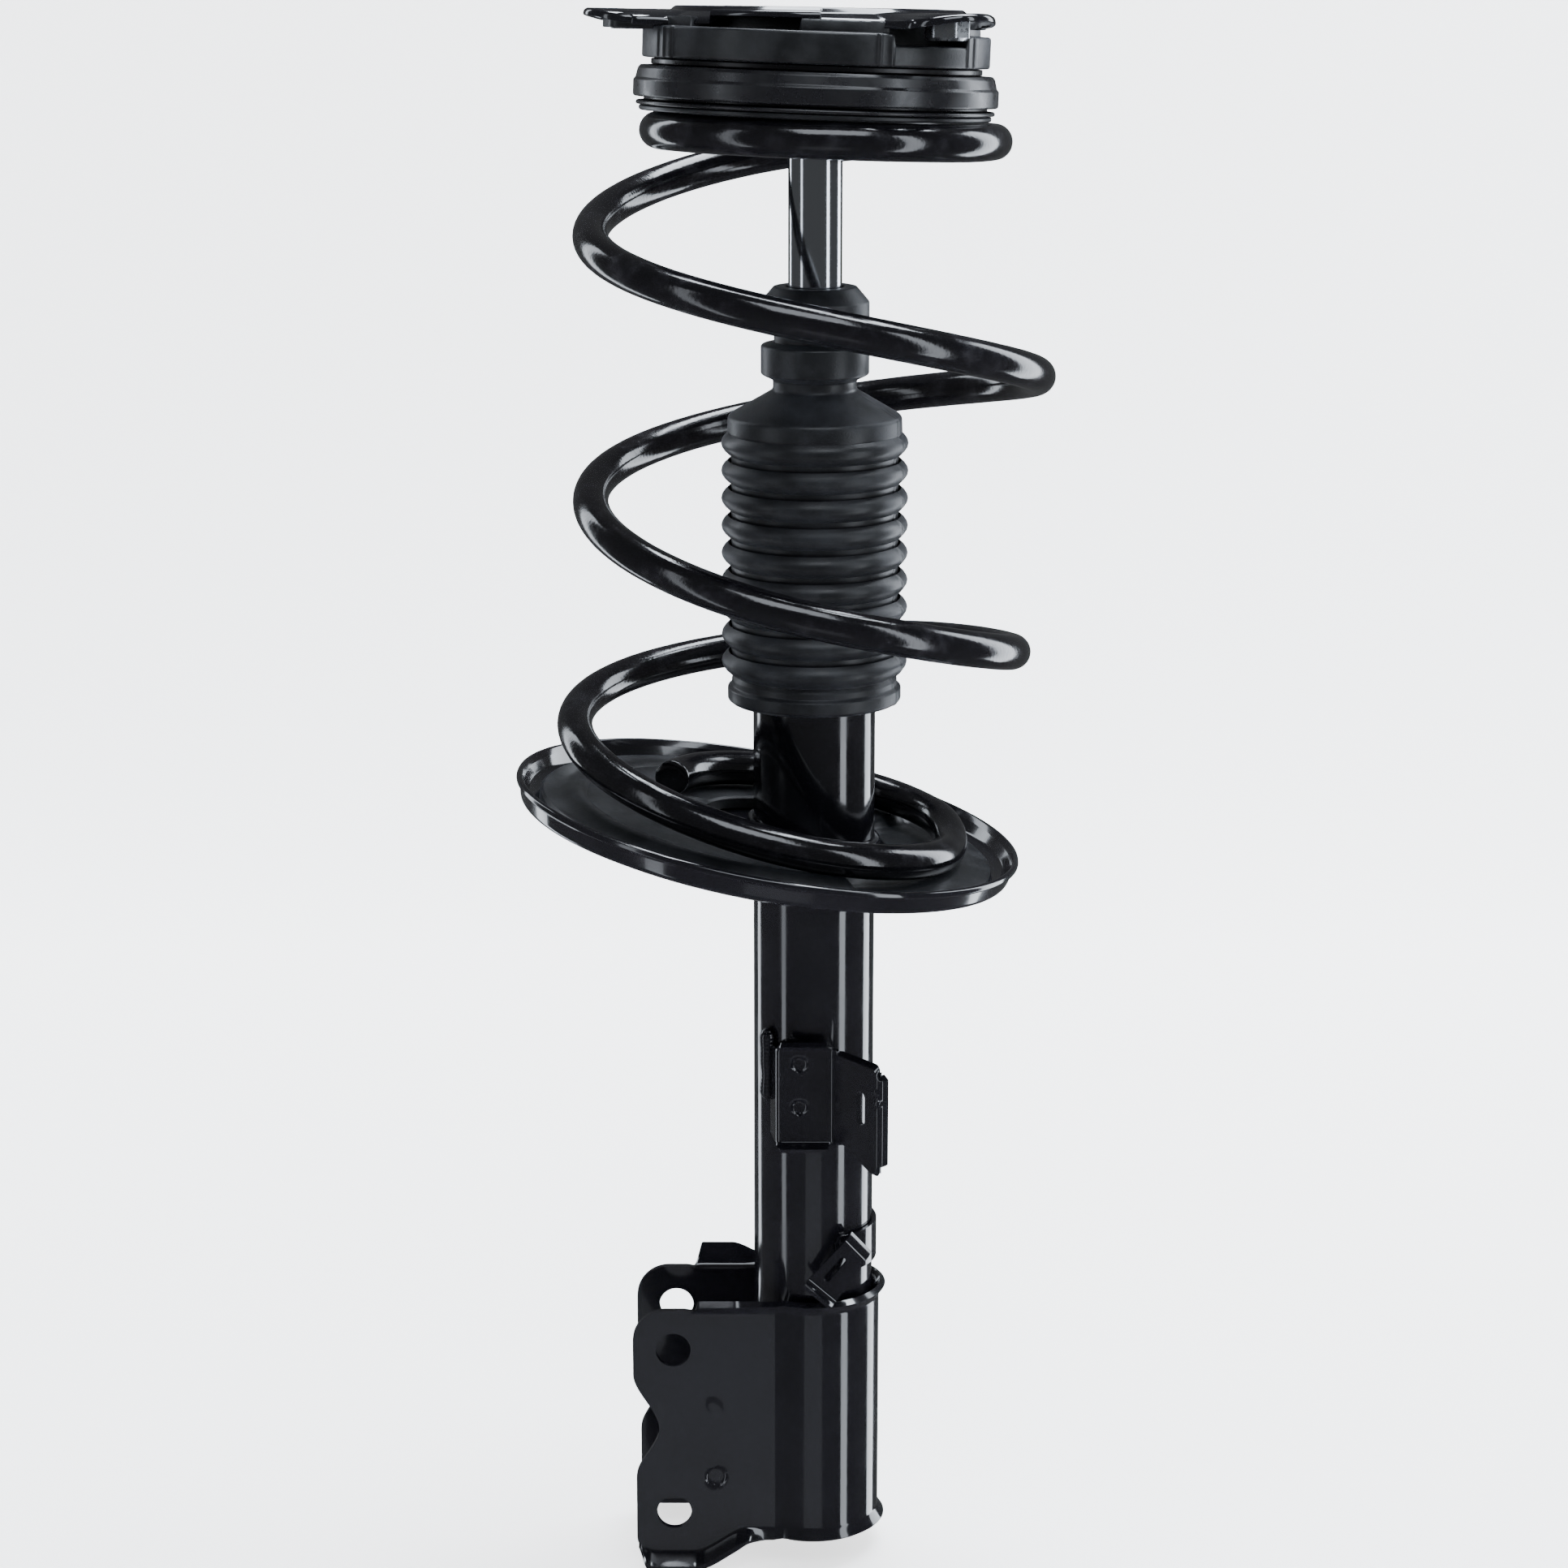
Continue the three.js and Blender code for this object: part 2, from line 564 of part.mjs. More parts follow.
place(root, 'bottom_cap', turned([
  [0, tubeBottom], [tubeBore - GAP, tubeBottom], [tubeBore - GAP, capTop], [0, capTop],
], SMALL_ROUND), steel());

// ---------------------------------------------------------------- boot and bump stop
const collarBottom = BOOT_TOP - BOOT_COLLAR_HEIGHT;
const neckBottom = collarBottom - BOOT_NECK_HEIGHT;
const coneBottom = neckBottom - BOOT_CONE_HEIGHT;
const bootBore = ROD_RADIUS + BOOT_ROD_GAP;
const bootShoulder = TUBE_RADIUS + BOOT_TUBE_ROOM + BOOT_WALL;
const bootBody = bootShoulder + BOOT_BEAD;

place(root, 'dust_boot', turned([
  [bootBore, BOOT_TOP], [BOOT_COLLAR_TOP_RADIUS, BOOT_TOP],
  [BOOT_COLLAR_RADIUS, BOOT_TOP - BOOT_COLLAR_CHAMFER], [BOOT_COLLAR_RADIUS, collarBottom + 4],
  [BOOT_NECK_RADIUS + 1.4, collarBottom], [BOOT_NECK_RADIUS + 1.4, neckBottom],
  [bootShoulder, coneBottom],
  [bootShoulder, BOOT_BODY_TOP + 3], [bootBody, BOOT_BODY_TOP],
  [bootBody, BOOT_BOTTOM + 12], [bootShoulder, BOOT_BOTTOM],
  [bootShoulder - BOOT_WALL, BOOT_BOTTOM], [bootBody - BOOT_WALL, BOOT_BOTTOM + 12],
  [bootBody - BOOT_WALL, BOOT_BODY_TOP - 2], [TUBE_RADIUS + 2, TUBE_TOP + 1.4],
  [STOP_RADIUS + GAP, TUBE_TOP + 1.4], [STOP_RADIUS + GAP, BOOT_TOP - 5],
  [bootBore, BOOT_TOP - 5],
], SMALL_ROUND * 2), rubber());
place(root, 'bump_stop', turned([
  [bootBore, TUBE_TOP + GAP + 1], [STOP_RADIUS - 1, TUBE_TOP + GAP + 1],
  [STOP_RADIUS, TUBE_TOP + 6], [STOP_RADIUS - STOP_WALL, TUBE_TOP + 14],
  [STOP_RADIUS, TUBE_TOP + 22], [STOP_RADIUS - STOP_WALL, TUBE_TOP + 30],
  [STOP_RADIUS, TUBE_TOP + 38], [STOP_RADIUS, BOOT_TOP - 5 - GAP - 2], [bootBore, BOOT_TOP - 5 - GAP - 2],
], SMALL_ROUND), rubber());

// ---------------------------------------------------------------- coil spring
const padTop = -SEAT_DEPTH + GAP + PAD_THICKNESS;
const padBore = TUBE_RADIUS + GAP + SEAT_COLLAR_WALL + PAD_BORE_ROOM;

class CoilLine extends THREE.Curve {
  constructor() {
    super();
    const contact = GAP + WIRE_RADIUS + 0.1;
    this.rows = [
      ...this.against(mountFrame, isolatorBottom - contact, COIL_TOP_ROWS),
      ...COIL_ROWS,
      ...this.against(seatFrame, padTop + contact, COIL_PAD_ROWS),
    ];
  }

  // Rows that lie in a plane of constant height of a tilted frame, three to each given stretch.
  against(frame, height, rows) {
    const normal = new THREE.Vector3(0, 0, 1).transformDirection(frame.matrixWorld);
    const middle = new THREE.Vector3(0, 0, height).applyMatrix4(frame.matrixWorld);
    const filled = [rows[0]];
    for (let i = 1; i < rows.length; i += 1) {
      for (let part = 1; part <= 3; part += 1) {
        filled.push(rows[i].map((value, k) => rows[i - 1][k] + (value - rows[i - 1][k]) * part / 3));
      }
    }
    return filled.map(([angle, radius]) => {
      const [x, y] = [radius * Math.cos(radians(angle)), radius * Math.sin(radians(angle))];
      const fall = (normal.x * (x - middle.x) + normal.y * (y - middle.y)) / normal.z;
      return [angle, radius, middle.z - fall];
    });
  }

  // Smooth value between the rows: a cubic through each pair with slopes taken across its neighbours.
  value(angle, column) {
    const rows = this.rows;
    let i = 0;
    while (i < rows.length - 2 && rows[i + 1][0] < angle) i += 1;
    const slope = (k) => {
      const [before, after] = [rows[Math.max(k - 1, 0)], rows[Math.min(k + 1, rows.length - 1)]];
      return (after[column] - before[column]) / (after[0] - before[0]);
    };
    const [low, high] = [rows[i], rows[i + 1]];
    const span = high[0] - low[0];
    const s = (angle - low[0]) / span;
    const [s2, s3] = [s * s, s * s * s];
    return (2 * s3 - 3 * s2 + 1) * low[column] + (s3 - 2 * s2 + s) * span * slope(i)
      + (3 * s2 - 2 * s3) * high[column] + (s3 - s2) * span * slope(i + 1);
  }

  getPoint(t, target = new THREE.Vector3()) {
    const [first, last] = [this.rows[0][0], this.rows[this.rows.length - 1][0]];
    const angle = first + (last - first) * t;
    const radius = this.value(angle, 1);
    const [x, y] = [radius * Math.cos(radians(angle)), radius * Math.sin(radians(angle))];
    return target.set(x, y, this.value(angle, 2));
  }
}

function buildSpring() {
  const section = new THREE.Shape();
  section.absarc(0, 0, WIRE_RADIUS, 0, 2 * Math.PI, false);
  const geometry = new THREE.ExtrudeGeometry(section, {
    steps: COIL_STEPS, extrudePath: new CoilLine(), curveSegments: WIRE_SIDES / 2, bevelEnabled: false,
  });
  return solid(geometry);
}
place(root, 'coil_spring', buildSpring(), blackPaint());

// ---------------------------------------------------------------- lower spring seat and pad
const tubeRoom = () => carried(ring(0, TUBE_RADIUS + GAP, -500, -200), root, seatFrame);

function buildLowerSeat() {
  const rim = SEAT_RADIUS;
  const sheet = SEAT_SHEET;
  const dish = turned([
    [20, -SEAT_DEPTH], [SEAT_FLOOR_RADIUS, -SEAT_DEPTH], [rim - 6, -SEAT_DEPTH + 1.8],
    [rim - 3.4, -0.8], [rim - 1.4, 0.5], [rim, -0.2], [rim + 0.4, -1.8], [rim - 1.2, -2.2],
    [rim - 3.2, -SEAT_DEPTH + 0.6], [SEAT_FLOOR_RADIUS + 1, -SEAT_DEPTH - sheet], [20, -SEAT_DEPTH - sheet],
  ]);
  const floorAtTube = SEAT_Z + SEAT_X * Math.tan(radians(SEAT_TILT_SIDE)) - SEAT_DEPTH;
  const collar = ring(TUBE_RADIUS + GAP, TUBE_RADIUS + GAP + SEAT_COLLAR_WALL,
    floorAtTube - SEAT_COLLAR_DOWN, floorAtTube + SEAT_COLLAR_UP);
  return dish.subtract(tubeRoom()).add(carried(collar, root, seatFrame));
}

function buildPad() {
  const bore = ring(0, padBore, -40, 40).translate([PAD_BORE_X, 0, 0]);
  const reach = PAD_RADIUS + 9;
  const step = arcBar([
    [1, padTop - PAD_STEP], [reach, padTop - PAD_STEP], [reach, padTop + 9], [1, padTop + 9],
  ], PAD_STEP_FROM, PAD_STEP_TO, 6);
  return turned([
    [10, padTop - PAD_THICKNESS], [PAD_RADIUS, padTop - PAD_THICKNESS], [PAD_RADIUS, padTop], [10, padTop],
  ]).subtract(bore).subtract(step);
}
place(seatFrame, 'lower_spring_seat', buildLowerSeat(), blackPaint());
place(seatFrame, 'lower_spring_pad', buildPad(), rubber());

// ---------------------------------------------------------------- knuckle bracket
const wrapInner = TUBE_RADIUS + GAP;
const wrapOuter = wrapInner + BRACKET_SHEET;
const earHalf = TUBE_RADIUS + EAR_STEP;

function bracketSection() {
  // plan view: two ears, a shallow outward bend and the wrap round the tube
  const end = radians(WRAP_END);
  const shape = new THREE.Shape();
  shape.moveTo(EAR_END, -earHalf);
  shape.lineTo(EAR_FOLD, -earHalf);
  shape.absarc(0, 0, wrapOuter, -end, end, false);
  shape.lineTo(EAR_FOLD, earHalf);
  shape.lineTo(EAR_END, earHalf);
  shape.lineTo(EAR_END, earHalf - EAR_PLATE);
  shape.lineTo(EAR_FOLD + 1.3, earHalf - EAR_PLATE);
  shape.absarc(0, 0, wrapInner, end, -end, true);
  shape.lineTo(EAR_FOLD + 1.3, -earHalf + EAR_PLATE);
  shape.lineTo(EAR_END, -earHalf + EAR_PLATE);
  shape.closePath();
  return shape;
}

function bracketOutline() {
  // side view of the ears with the relief between the bolts
  const shape = new THREE.Shape();
  shape.moveTo(40, BRACKET_TOP);
  shape.lineTo(-50, BRACKET_TOP);
  shape.lineTo(-53.5, EAR_PLAIN_TOP);
  shape.lineTo(-63.5, EAR_PLAIN_TOP);
  shape.quadraticCurveTo(EAR_END, EAR_PLAIN_TOP, EAR_END, UPPER_BOLT_Z + 3);
  shape.lineTo(EAR_END, UPPER_BOLT_Z - 13);
  shape.bezierCurveTo(EAR_END, -586, -66.6, -590, -66.6, -600);
  shape.bezierCurveTo(-66.6, -611, -76.6, -611, -76.6, -622);
  shape.lineTo(-76.6, -651);
  shape.quadraticCurveTo(-76, -657, -70, -657.4);
  shape.lineTo(-52.5, -657.4);
  shape.bezierCurveTo(-45, -657, -42, -648, -28, -646.6);
  shape.lineTo(-20, BRACKET_BOTTOM);
  shape.lineTo(40, BRACKET_BOTTOM);
  shape.closePath();
  return shape;
}

function buildBracket() {
  const outline = solid(upright(bracketOutline(), 50, 100, 5));
  let bracket = solid(raised(bracketSection(), -670, 140, 10)).intersect(outline);
  const [low, high] = [earHalf - EAR_PLATE, earHalf];
  for (const side of [-1, 1]) {
    const topFlange = [
      [side * low, -1.5], [side * high, -1.5],
      [side * (high + FLANGE_OUT), FLANGE_RISE - 2.2], [side * (high + FLANGE_OUT - 2), FLANGE_RISE],
    ];
    bracket = bracket.add(bar([[-50, BRACKET_TOP], [-17, BRACKET_TOP]], topFlange));
    const bottomFlange = [
      [side * low, 1.2], [side * high, 1.2],
      [side * (high + FLANGE_OUT), -0.6], [side * (high + FLANGE_OUT), -3.2], [side * low, -1.4],
    ];
    bracket = bracket.add(bar([
      [-73.5, -656.2], [-70, -656.8], [-52.5, -656.8], [-48, -655.6], [-42, -651.6], [-36, -648],
      [-28, -646.2], [-17, BRACKET_BOTTOM],
    ], bottomFlange));
  }
  const upperLip = [
    [wrapInner, BRACKET_TOP - 1], [wrapOuter, BRACKET_TOP - 1],
    [wrapOuter + LIP_OUT, BRACKET_TOP + LIP_RISE - 1], [wrapOuter + LIP_OUT - 2, BRACKET_TOP + LIP_RISE],
  ];
  const lipEdge = wrapOuter + LIP_OUT;
  const lowerLip = [
    [wrapInner, BRACKET_BOTTOM + 1], [wrapOuter, BRACKET_BOTTOM + 1],
    [lipEdge, BRACKET_BOTTOM - LIP_RISE + 1], [lipEdge - 2, BRACKET_BOTTOM - LIP_RISE],
  ];
  const lipEnd = WRAP_END + 12;
  bracket = bracket
    .add(arcBar(upperLip, -lipEnd, lipEnd, 20))
    .add(arcBar(lowerLip, -lipEnd, lipEnd, 20));
  for (const height of [UPPER_BOLT_Z, LOWER_BOLT_Z]) {
    bracket = bracket.subtract(crossHole(BOLT_X, height, BOLT_RADIUS, 50));
  }
  return bracket;
}
place(root, 'knuckle_bracket', buildBracket(), blackPaint());

// ---------------------------------------------------------------- hose bracket
const hoseBottom = HOSE_TOP - HOSE_HEIGHT;
const hoseFace = -TUBE_RADIUS - HOSE_STANDOFF;

function buildHoseBracket() {
  // base: a flat face with its left side bent back to the tube
  const inset = HOSE_SHEET;
  const base = shapeOf([
    [HOSE_LEFT, hoseFace], [HOSE_RIGHT, hoseFace], [HOSE_RIGHT, hoseFace + inset],
    [HOSE_LEFT + inset, hoseFace + inset],
    [HOSE_LEFT - 1.6, hoseFace + 7.4], [HOSE_LEFT - 4.4, hoseFace + 7.4],
  ]);
  const baseBody = solid(raised(base, hoseBottom, HOSE_HEIGHT));
  // wing: a shallow tray whose floor carries the clip slot and whose rim turns back all round
  const wingFloor = shapeOf([[-2, 0], [WING_LENGTH, 0], [WING_LENGTH, HOSE_SHEET], [-2, HOSE_SHEET]]);
  let wing = solid(raised(wingFloor, hoseBottom, HOSE_HEIGHT));
  const rim = WING_RIM + HOSE_SHEET;
  const rims = [
    [[6, 0, hoseBottom], [WING_LENGTH, rim, hoseBottom + HOSE_SHEET]],
    [[6, 0, HOSE_TOP - HOSE_SHEET], [WING_LENGTH, rim, HOSE_TOP]],
    [[WING_LENGTH - HOSE_SHEET, 0, hoseBottom], [WING_LENGTH, rim, HOSE_TOP]],
  ];
  for (const [low, high] of rims) {
    const size = high.map((value, i) => value - low[i]);
    const box = new THREE.BoxGeometry(...size);
    box.translate(...low.map((value, i) => value + size[i] / 2));
    wing = wing.add(solid(box));
  }
  const slot = new THREE.Shape();
  const middle = (HOSE_TOP + hoseBottom) / 2;
  slot.absarc(SLOT_PLACE, middle + SLOT_HALF, SLOT_RADIUS, 0, Math.PI, false);
  slot.absarc(SLOT_PLACE, middle - SLOT_HALF, SLOT_RADIUS, Math.PI, 2 * Math.PI, false);
  slot.closePath();
  wing = wing.subtract(solid(upright(slot, 20, 40)));
  wing = wing.rotate([0, 0, WING_ANGLE]).translate([HOSE_RIGHT - 1, hoseFace + 1, 0]);
  return baseBody.add(wing);
}
place(root, 'hose_bracket', buildHoseBracket(), blackPaint());

// ---------------------------------------------------------------- sensor wire bracket
function buildSensorBracket() {
  const sensorFace = -TUBE_RADIUS - SENSOR_STANDOFF;
  const inner = TUBE_RADIUS + GAP;
  const strap = arcBar([
    [inner, STRAP_TOP - STRAP_HEIGHT], [inner + STRAP_SHEET, STRAP_TOP - STRAP_HEIGHT],
    [inner + STRAP_SHEET, STRAP_TOP], [inner, STRAP_TOP],
  ], STRAP_FROM, STRAP_TO, 12);
  const tab = shapeOf([[13.5, -513], [21, -523], [9.6, -538.4], [-1.9, -528.4]]);
  const face = solid(upright(tab, sensorFace + SENSOR_SHEET, SENSOR_SHEET));
  const web = shapeOf([
    [9.4, 1.1 - TUBE_RADIUS], [12.2, 2.3 - TUBE_RADIUS],
    [14.5, sensorFace + 1], [8.5, sensorFace + 0.5],
  ]);
  const webBody = solid(raised(web, STRAP_TOP - 14, 12));
  const lip = loft([[-1.9, -528.4], [9.6, -538.4]].map(([x, z]) => [
    [x, sensorFace + SENSOR_SHEET, z], [x, sensorFace - SENSOR_LIP, z],
    [x + 1.2, sensorFace - SENSOR_LIP, z + 1.4], [x + 1.2, sensorFace + SENSOR_SHEET, z + 1.4],
  ]));
  return strap.add(webBody).add(face).add(lip).subtract(crossHole(9.5, -525.5, 2.4, 60)
    .subtract(ring(0, TUBE_RADIUS + 3, -560, -480, SMALL_ROUND)));
}
place(root, 'sensor_wire_bracket', buildSensorBracket(), blackPaint());

// ---------------------------------------------------------------- weld beads
const WELD = 1.7;                // half width of a weld bead
const weldRing = (height, from, to, radius = TUBE_RADIUS, steps = 24) => arcBar([
  [radius + GAP, height - WELD], [radius + GAP + WELD * 1.2, height - WELD],
  [radius + GAP + WELD * 0.6, height + WELD], [radius + GAP, height + WELD],
], from, to, steps);
const seatFloorAtTube = SEAT_Z + SEAT_X * Math.tan(radians(SEAT_TILT_SIDE)) - SEAT_DEPTH;
const seatWeldHeight = seatFloorAtTube - SEAT_COLLAR_DOWN - GAP - WELD;
place(root, 'seat_weld', weldRing(seatWeldHeight, 0, 350, TUBE_RADIUS, 32), blackPaint());

function buildHoseWeld() {
  const heights = [HOSE_TOP + 3, HOSE_TOP - 2, HOSE_TOP - 28, HOSE_TOP - 32];
  return loft(heights.map((z, i) => {
    const width = i === 0 || i === 3 ? 0.8 : 2.2;
    return [
      [-18.8 - width, 6.1 - TUBE_RADIUS, z], [-19 - width, 4.1 - TUBE_RADIUS, z],
      [-20.4, 3.3 - TUBE_RADIUS - width / 2, z], [-18.2, 5.7 - TUBE_RADIUS, z],
    ];
  }));
}
place(root, 'hose_bracket_weld', buildHoseWeld(), blackPaint());

export default root;
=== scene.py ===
"""Front suspension strut assembly: the fine surfaces, the finishes and the studio.

Shapes are worked out in millimetres and handed over in metres. +Z runs up the damper axis, -Y is the
side with the hose bracket and +X points away from the knuckle bracket's ears.
"""
import math

import bmesh
import bpy
import numpy as np
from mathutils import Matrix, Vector


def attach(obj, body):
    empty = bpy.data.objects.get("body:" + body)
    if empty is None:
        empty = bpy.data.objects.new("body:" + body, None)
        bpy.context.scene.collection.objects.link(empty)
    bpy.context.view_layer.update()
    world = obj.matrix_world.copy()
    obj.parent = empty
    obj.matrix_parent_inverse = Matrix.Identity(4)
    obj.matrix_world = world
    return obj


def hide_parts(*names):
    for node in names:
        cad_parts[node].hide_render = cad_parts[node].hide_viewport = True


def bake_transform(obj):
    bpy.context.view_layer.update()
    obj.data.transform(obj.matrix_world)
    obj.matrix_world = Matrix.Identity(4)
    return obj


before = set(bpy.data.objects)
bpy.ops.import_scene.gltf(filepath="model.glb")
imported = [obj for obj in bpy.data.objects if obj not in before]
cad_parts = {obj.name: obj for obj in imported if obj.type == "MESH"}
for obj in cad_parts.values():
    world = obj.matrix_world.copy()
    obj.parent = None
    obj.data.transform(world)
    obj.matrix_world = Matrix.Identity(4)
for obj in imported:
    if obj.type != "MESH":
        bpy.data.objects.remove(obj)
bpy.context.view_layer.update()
MM = 0.001

# ------------------------------------------------------------------ sizes, millimetres
ROD_RADIUS = 11.0
ROD_SHOULDER = -36.3
TUBE_RADIUS = 25.5
TUBE_TOP = -165.0
TUBE_BOTTOM = -646.0
CLEAR = 0.3

MOUNT_TURN = (-2.3, 2.1)         # degrees about X and Y of the bearing and the rubber
PLATE_TURN = -1.1                # degrees about Y of the plate against the rubber
PLATE_RADIUS = 66.0
PLATE_BORE = 26.0
PLATE_STEP = -1.5                # height of the ring round the raised middle
PLATE_UNDER = -4.0
EAR_ANGLES = (-50.0, 70.0, 190.0)
EAR_CIRCLE = 76.0
EAR_RADIUS = 18.5
EAR_SKIRT = 0.4
NUT_BORE = 4.3
INSULATOR_RADIUS = 69.2
INSULATOR_BOTTOM = -21.6
CASE_TOP = -24.5
CASE_BOTTOM = -36.9
CASE_RADIUS = 73.3
LIP_TOP = -38.3
LIP_BOTTOM = -40.0
ISOLATOR_TOP = -40.3
ISOLATOR_BOTTOM = -42.3

WIRE_RADIUS = 7.35
COIL_TOP = ((120, 63), (180, 63.5), (270, 67), (360, 72))
COIL_FREE = (
    (450, 86, -61), (540, 90.8, -88.5), (630, 91, -115.5), (720, 90.9, -147.7),
    (810, 91, -172.5), (900, 92.3, -197.5), (990, 87.5, -231.6), (1080, 82.6, -262),
    (1170, 89, -276), (1260, 100.2, -292.5), (1350, 76.5, -329), (1420, 58.5, -343.2),
)
COIL_BOTTOM = ((1470, 58.2), (1540, 60), (1608, 61.5))

SEAT_X, SEAT_Z = -19.0, -331.0
SEAT_TURN = 10.2
SEAT_DEPTH = 9.9
PAD_TOP = -3.9

BOOT_TOP, BOOT_BOTTOM = -110.5, -282.6


# ------------------------------------------------------------------ places
def turned_frame(about_x, about_y, middle=(0, 0, 0)):
    """4x4 of a turn about Y, then about X, in degrees, at a middle."""
    x, y = math.radians(about_x), math.radians(about_y)
    turn_y = np.array([[math.cos(y), 0, math.sin(y)], [0, 1, 0], [-math.sin(y), 0, math.cos(y)]])
    turn_x = np.array([[1, 0, 0], [0, math.cos(x), -math.sin(x)], [0, math.sin(x), math.cos(x)]])
    place = np.eye(4)
    place[:3, :3] = turn_x @ turn_y
    place[:3, 3] = middle
    return place


def mount_place():
    """The tilted frame of the top mount, which turns about the rod's shoulder."""
    place = turned_frame(*MOUNT_TURN)
    pivot = np.array([0, 0, ROD_SHOULDER])
    place[:3, 3] = pivot - place[:3, :3] @ pivot
    return place


UPRIGHT = np.eye(4)
MOUNT = mount_place()
PLATE = MOUNT @ turned_frame(0, PLATE_TURN)
SEAT = turned_frame(0, SEAT_TURN, (SEAT_X, 0, SEAT_Z))


def placed(points, place):
    """Points of a tilted frame, in the part's frame."""
    flat = points.reshape(-1, 3)
    return (flat @ place[:3, :3].T + place[:3, 3]).reshape(points.shape)


# ------------------------------------------------------------------ mesh tools
def grid_quads(rows, columns, around_rows=False, around_columns=False):
    """Quads between neighbours of a grid; 'around' joins the last row or column to the first."""
    r = np.arange(rows if around_rows else rows - 1)[:, None]
    c = np.arange(columns if around_columns else columns - 1)[None, :]
    below, beside = (r + 1) % rows, (c + 1) % columns
    corners = (r * columns + c, below * columns + c, below * columns + beside, r * columns + beside)
    return np.stack(np.broadcast_arrays(*corners), axis=-1).reshape(-1, 4)


def piece(name, points, faces, material, body, nodes, crease=38.0):
    """A closed mesh from points in millimetres, riding on a body and standing for CAD nodes."""
    mesh = bpy.data.meshes.new(name)
    mesh.from_pydata((points.reshape(-1, 3) * MM).tolist(), [], [list(map(int, f)) for f in faces])
    shape = bmesh.new()
    shape.from_mesh(mesh)
    bmesh.ops.remove_doubles(shape, verts=shape.verts, dist=2e-6)
    bmesh.ops.dissolve_degenerate(shape, edges=shape.edges, dist=1e-7)
    bmesh.ops.recalc_face_normals(shape, faces=shape.faces)
    shape.to_mesh(mesh)
    shape.free()
    mesh.shade_smooth()
    mesh.set_sharp_from_angle(angle=math.radians(crease))
    mesh.materials.append(material)
    item = bpy.data.objects.new(name, mesh)
    bpy.context.scene.collection.objects.link(item)
    if nodes:
        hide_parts(*nodes)
    if body:
        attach(item, body)
    return item


def rounded(outline, steps=5):
    """Replaces each corner (r, z, fillet) of a closed outline by an arc that touches both sides."""
    corners = [np.array(p[:2], float) for p in outline]
    fillets = [p[2] if len(p) > 2 else 0.0 for p in outline]
    result = []
    for i, corner in enumerate(corners):
        before = corners[i - 1] - corner
        after = corners[(i + 1) % len(corners)] - corner
        long_before, long_after = np.linalg.norm(before), np.linalg.norm(after)
        if fillets[i] <= 0 or min(long_before, long_after) < 1e-6:
            result.append(corner)
            continue
        before, after = before / long_before, after / long_after
        half = math.acos(np.clip(before @ after, -1, 1)) / 2
        if half > math.radians(88):
            result.append(corner)
            continue
        reach = min(fillets[i] / math.tan(half), long_before * 0.48, long_after * 0.48)
        radius = reach * math.tan(half)
        inward = (before + after) / np.linalg.norm(before + after)
        centre = corner + inward * radius / math.sin(half)
        start, end = corner + before * reach - centre, corner + after * reach - centre
        sweep = math.pi - 2 * half
        for s in np.linspace(0, 1, steps + 1):
            blend = (math.sin((1 - s) * sweep) * start + math.sin(s * sweep) * end) / math.sin(sweep)
            result.append(centre + blend)
    return np.array(result)


def turned(name, outline, material, body, nodes, place=UPRIGHT, sides=160, crease=38.0,
           shaping=None, steps=5):
    """A body of revolution: x = r cos a, y = r sin a for every outline point (r, z) and angle a."""
    profile = rounded(outline, steps)
    angles = np.linspace(0, 2 * math.pi, sides, endpoint=False)
    r = np.broadcast_to(profile[:, 0][:, None], (len(profile), sides)).copy()
    z = np.broadcast_to(profile[:, 1][:, None], (len(profile), sides)).copy()
    if shaping:
        r, z = shaping(r, z, np.degrees(angles)[None, :])
    points = np.stack([r * np.cos(angles), r * np.sin(angles), z], axis=-1)
    faces = grid_quads(len(profile), sides, around_rows=True, around_columns=True)
    return piece(name, placed(points, place), faces, material, body, nodes, crease)


# ------------------------------------------------------------------ materials
def colour(code):
    """sRGB hex to the linear values that a shader reads."""
    channels = [int(code[i:i + 2], 16) / 255 for i in (1, 3, 5)]
    linear = [c / 12.92 if c <= 0.04045 else ((c + 0.055) / 1.055) ** 2.4 for c in channels]
    return (*linear, 1.0)


def add_node(tree, kind, settings=None, inputs=None, **links):
    """One node with its settings, input values and the sockets that feed it."""
    node = tree.nodes.new(kind)
    for key, value in (settings or {}).items():
        setattr(node, key, value)
    for key, value in (inputs or {}).items():
        node.inputs[key].default_value = value
    for key, source in links.items():
        tree.links.new(source, node.inputs[key.replace("_", " ")])
    return node


def material(name, base, **shader):
    """A material with its Principled shader set to the given base colour and values."""
    made = bpy.data.materials.new(name)
    made.use_nodes = True
    tree = made.node_tree
    principled = tree.nodes["Principled BSDF"]
    principled.inputs["Base Color"].default_value = colour(base)
    for key, value in shader.items():
        principled.inputs[key.replace("_", " ")].default_value = value
    return made, tree, principled


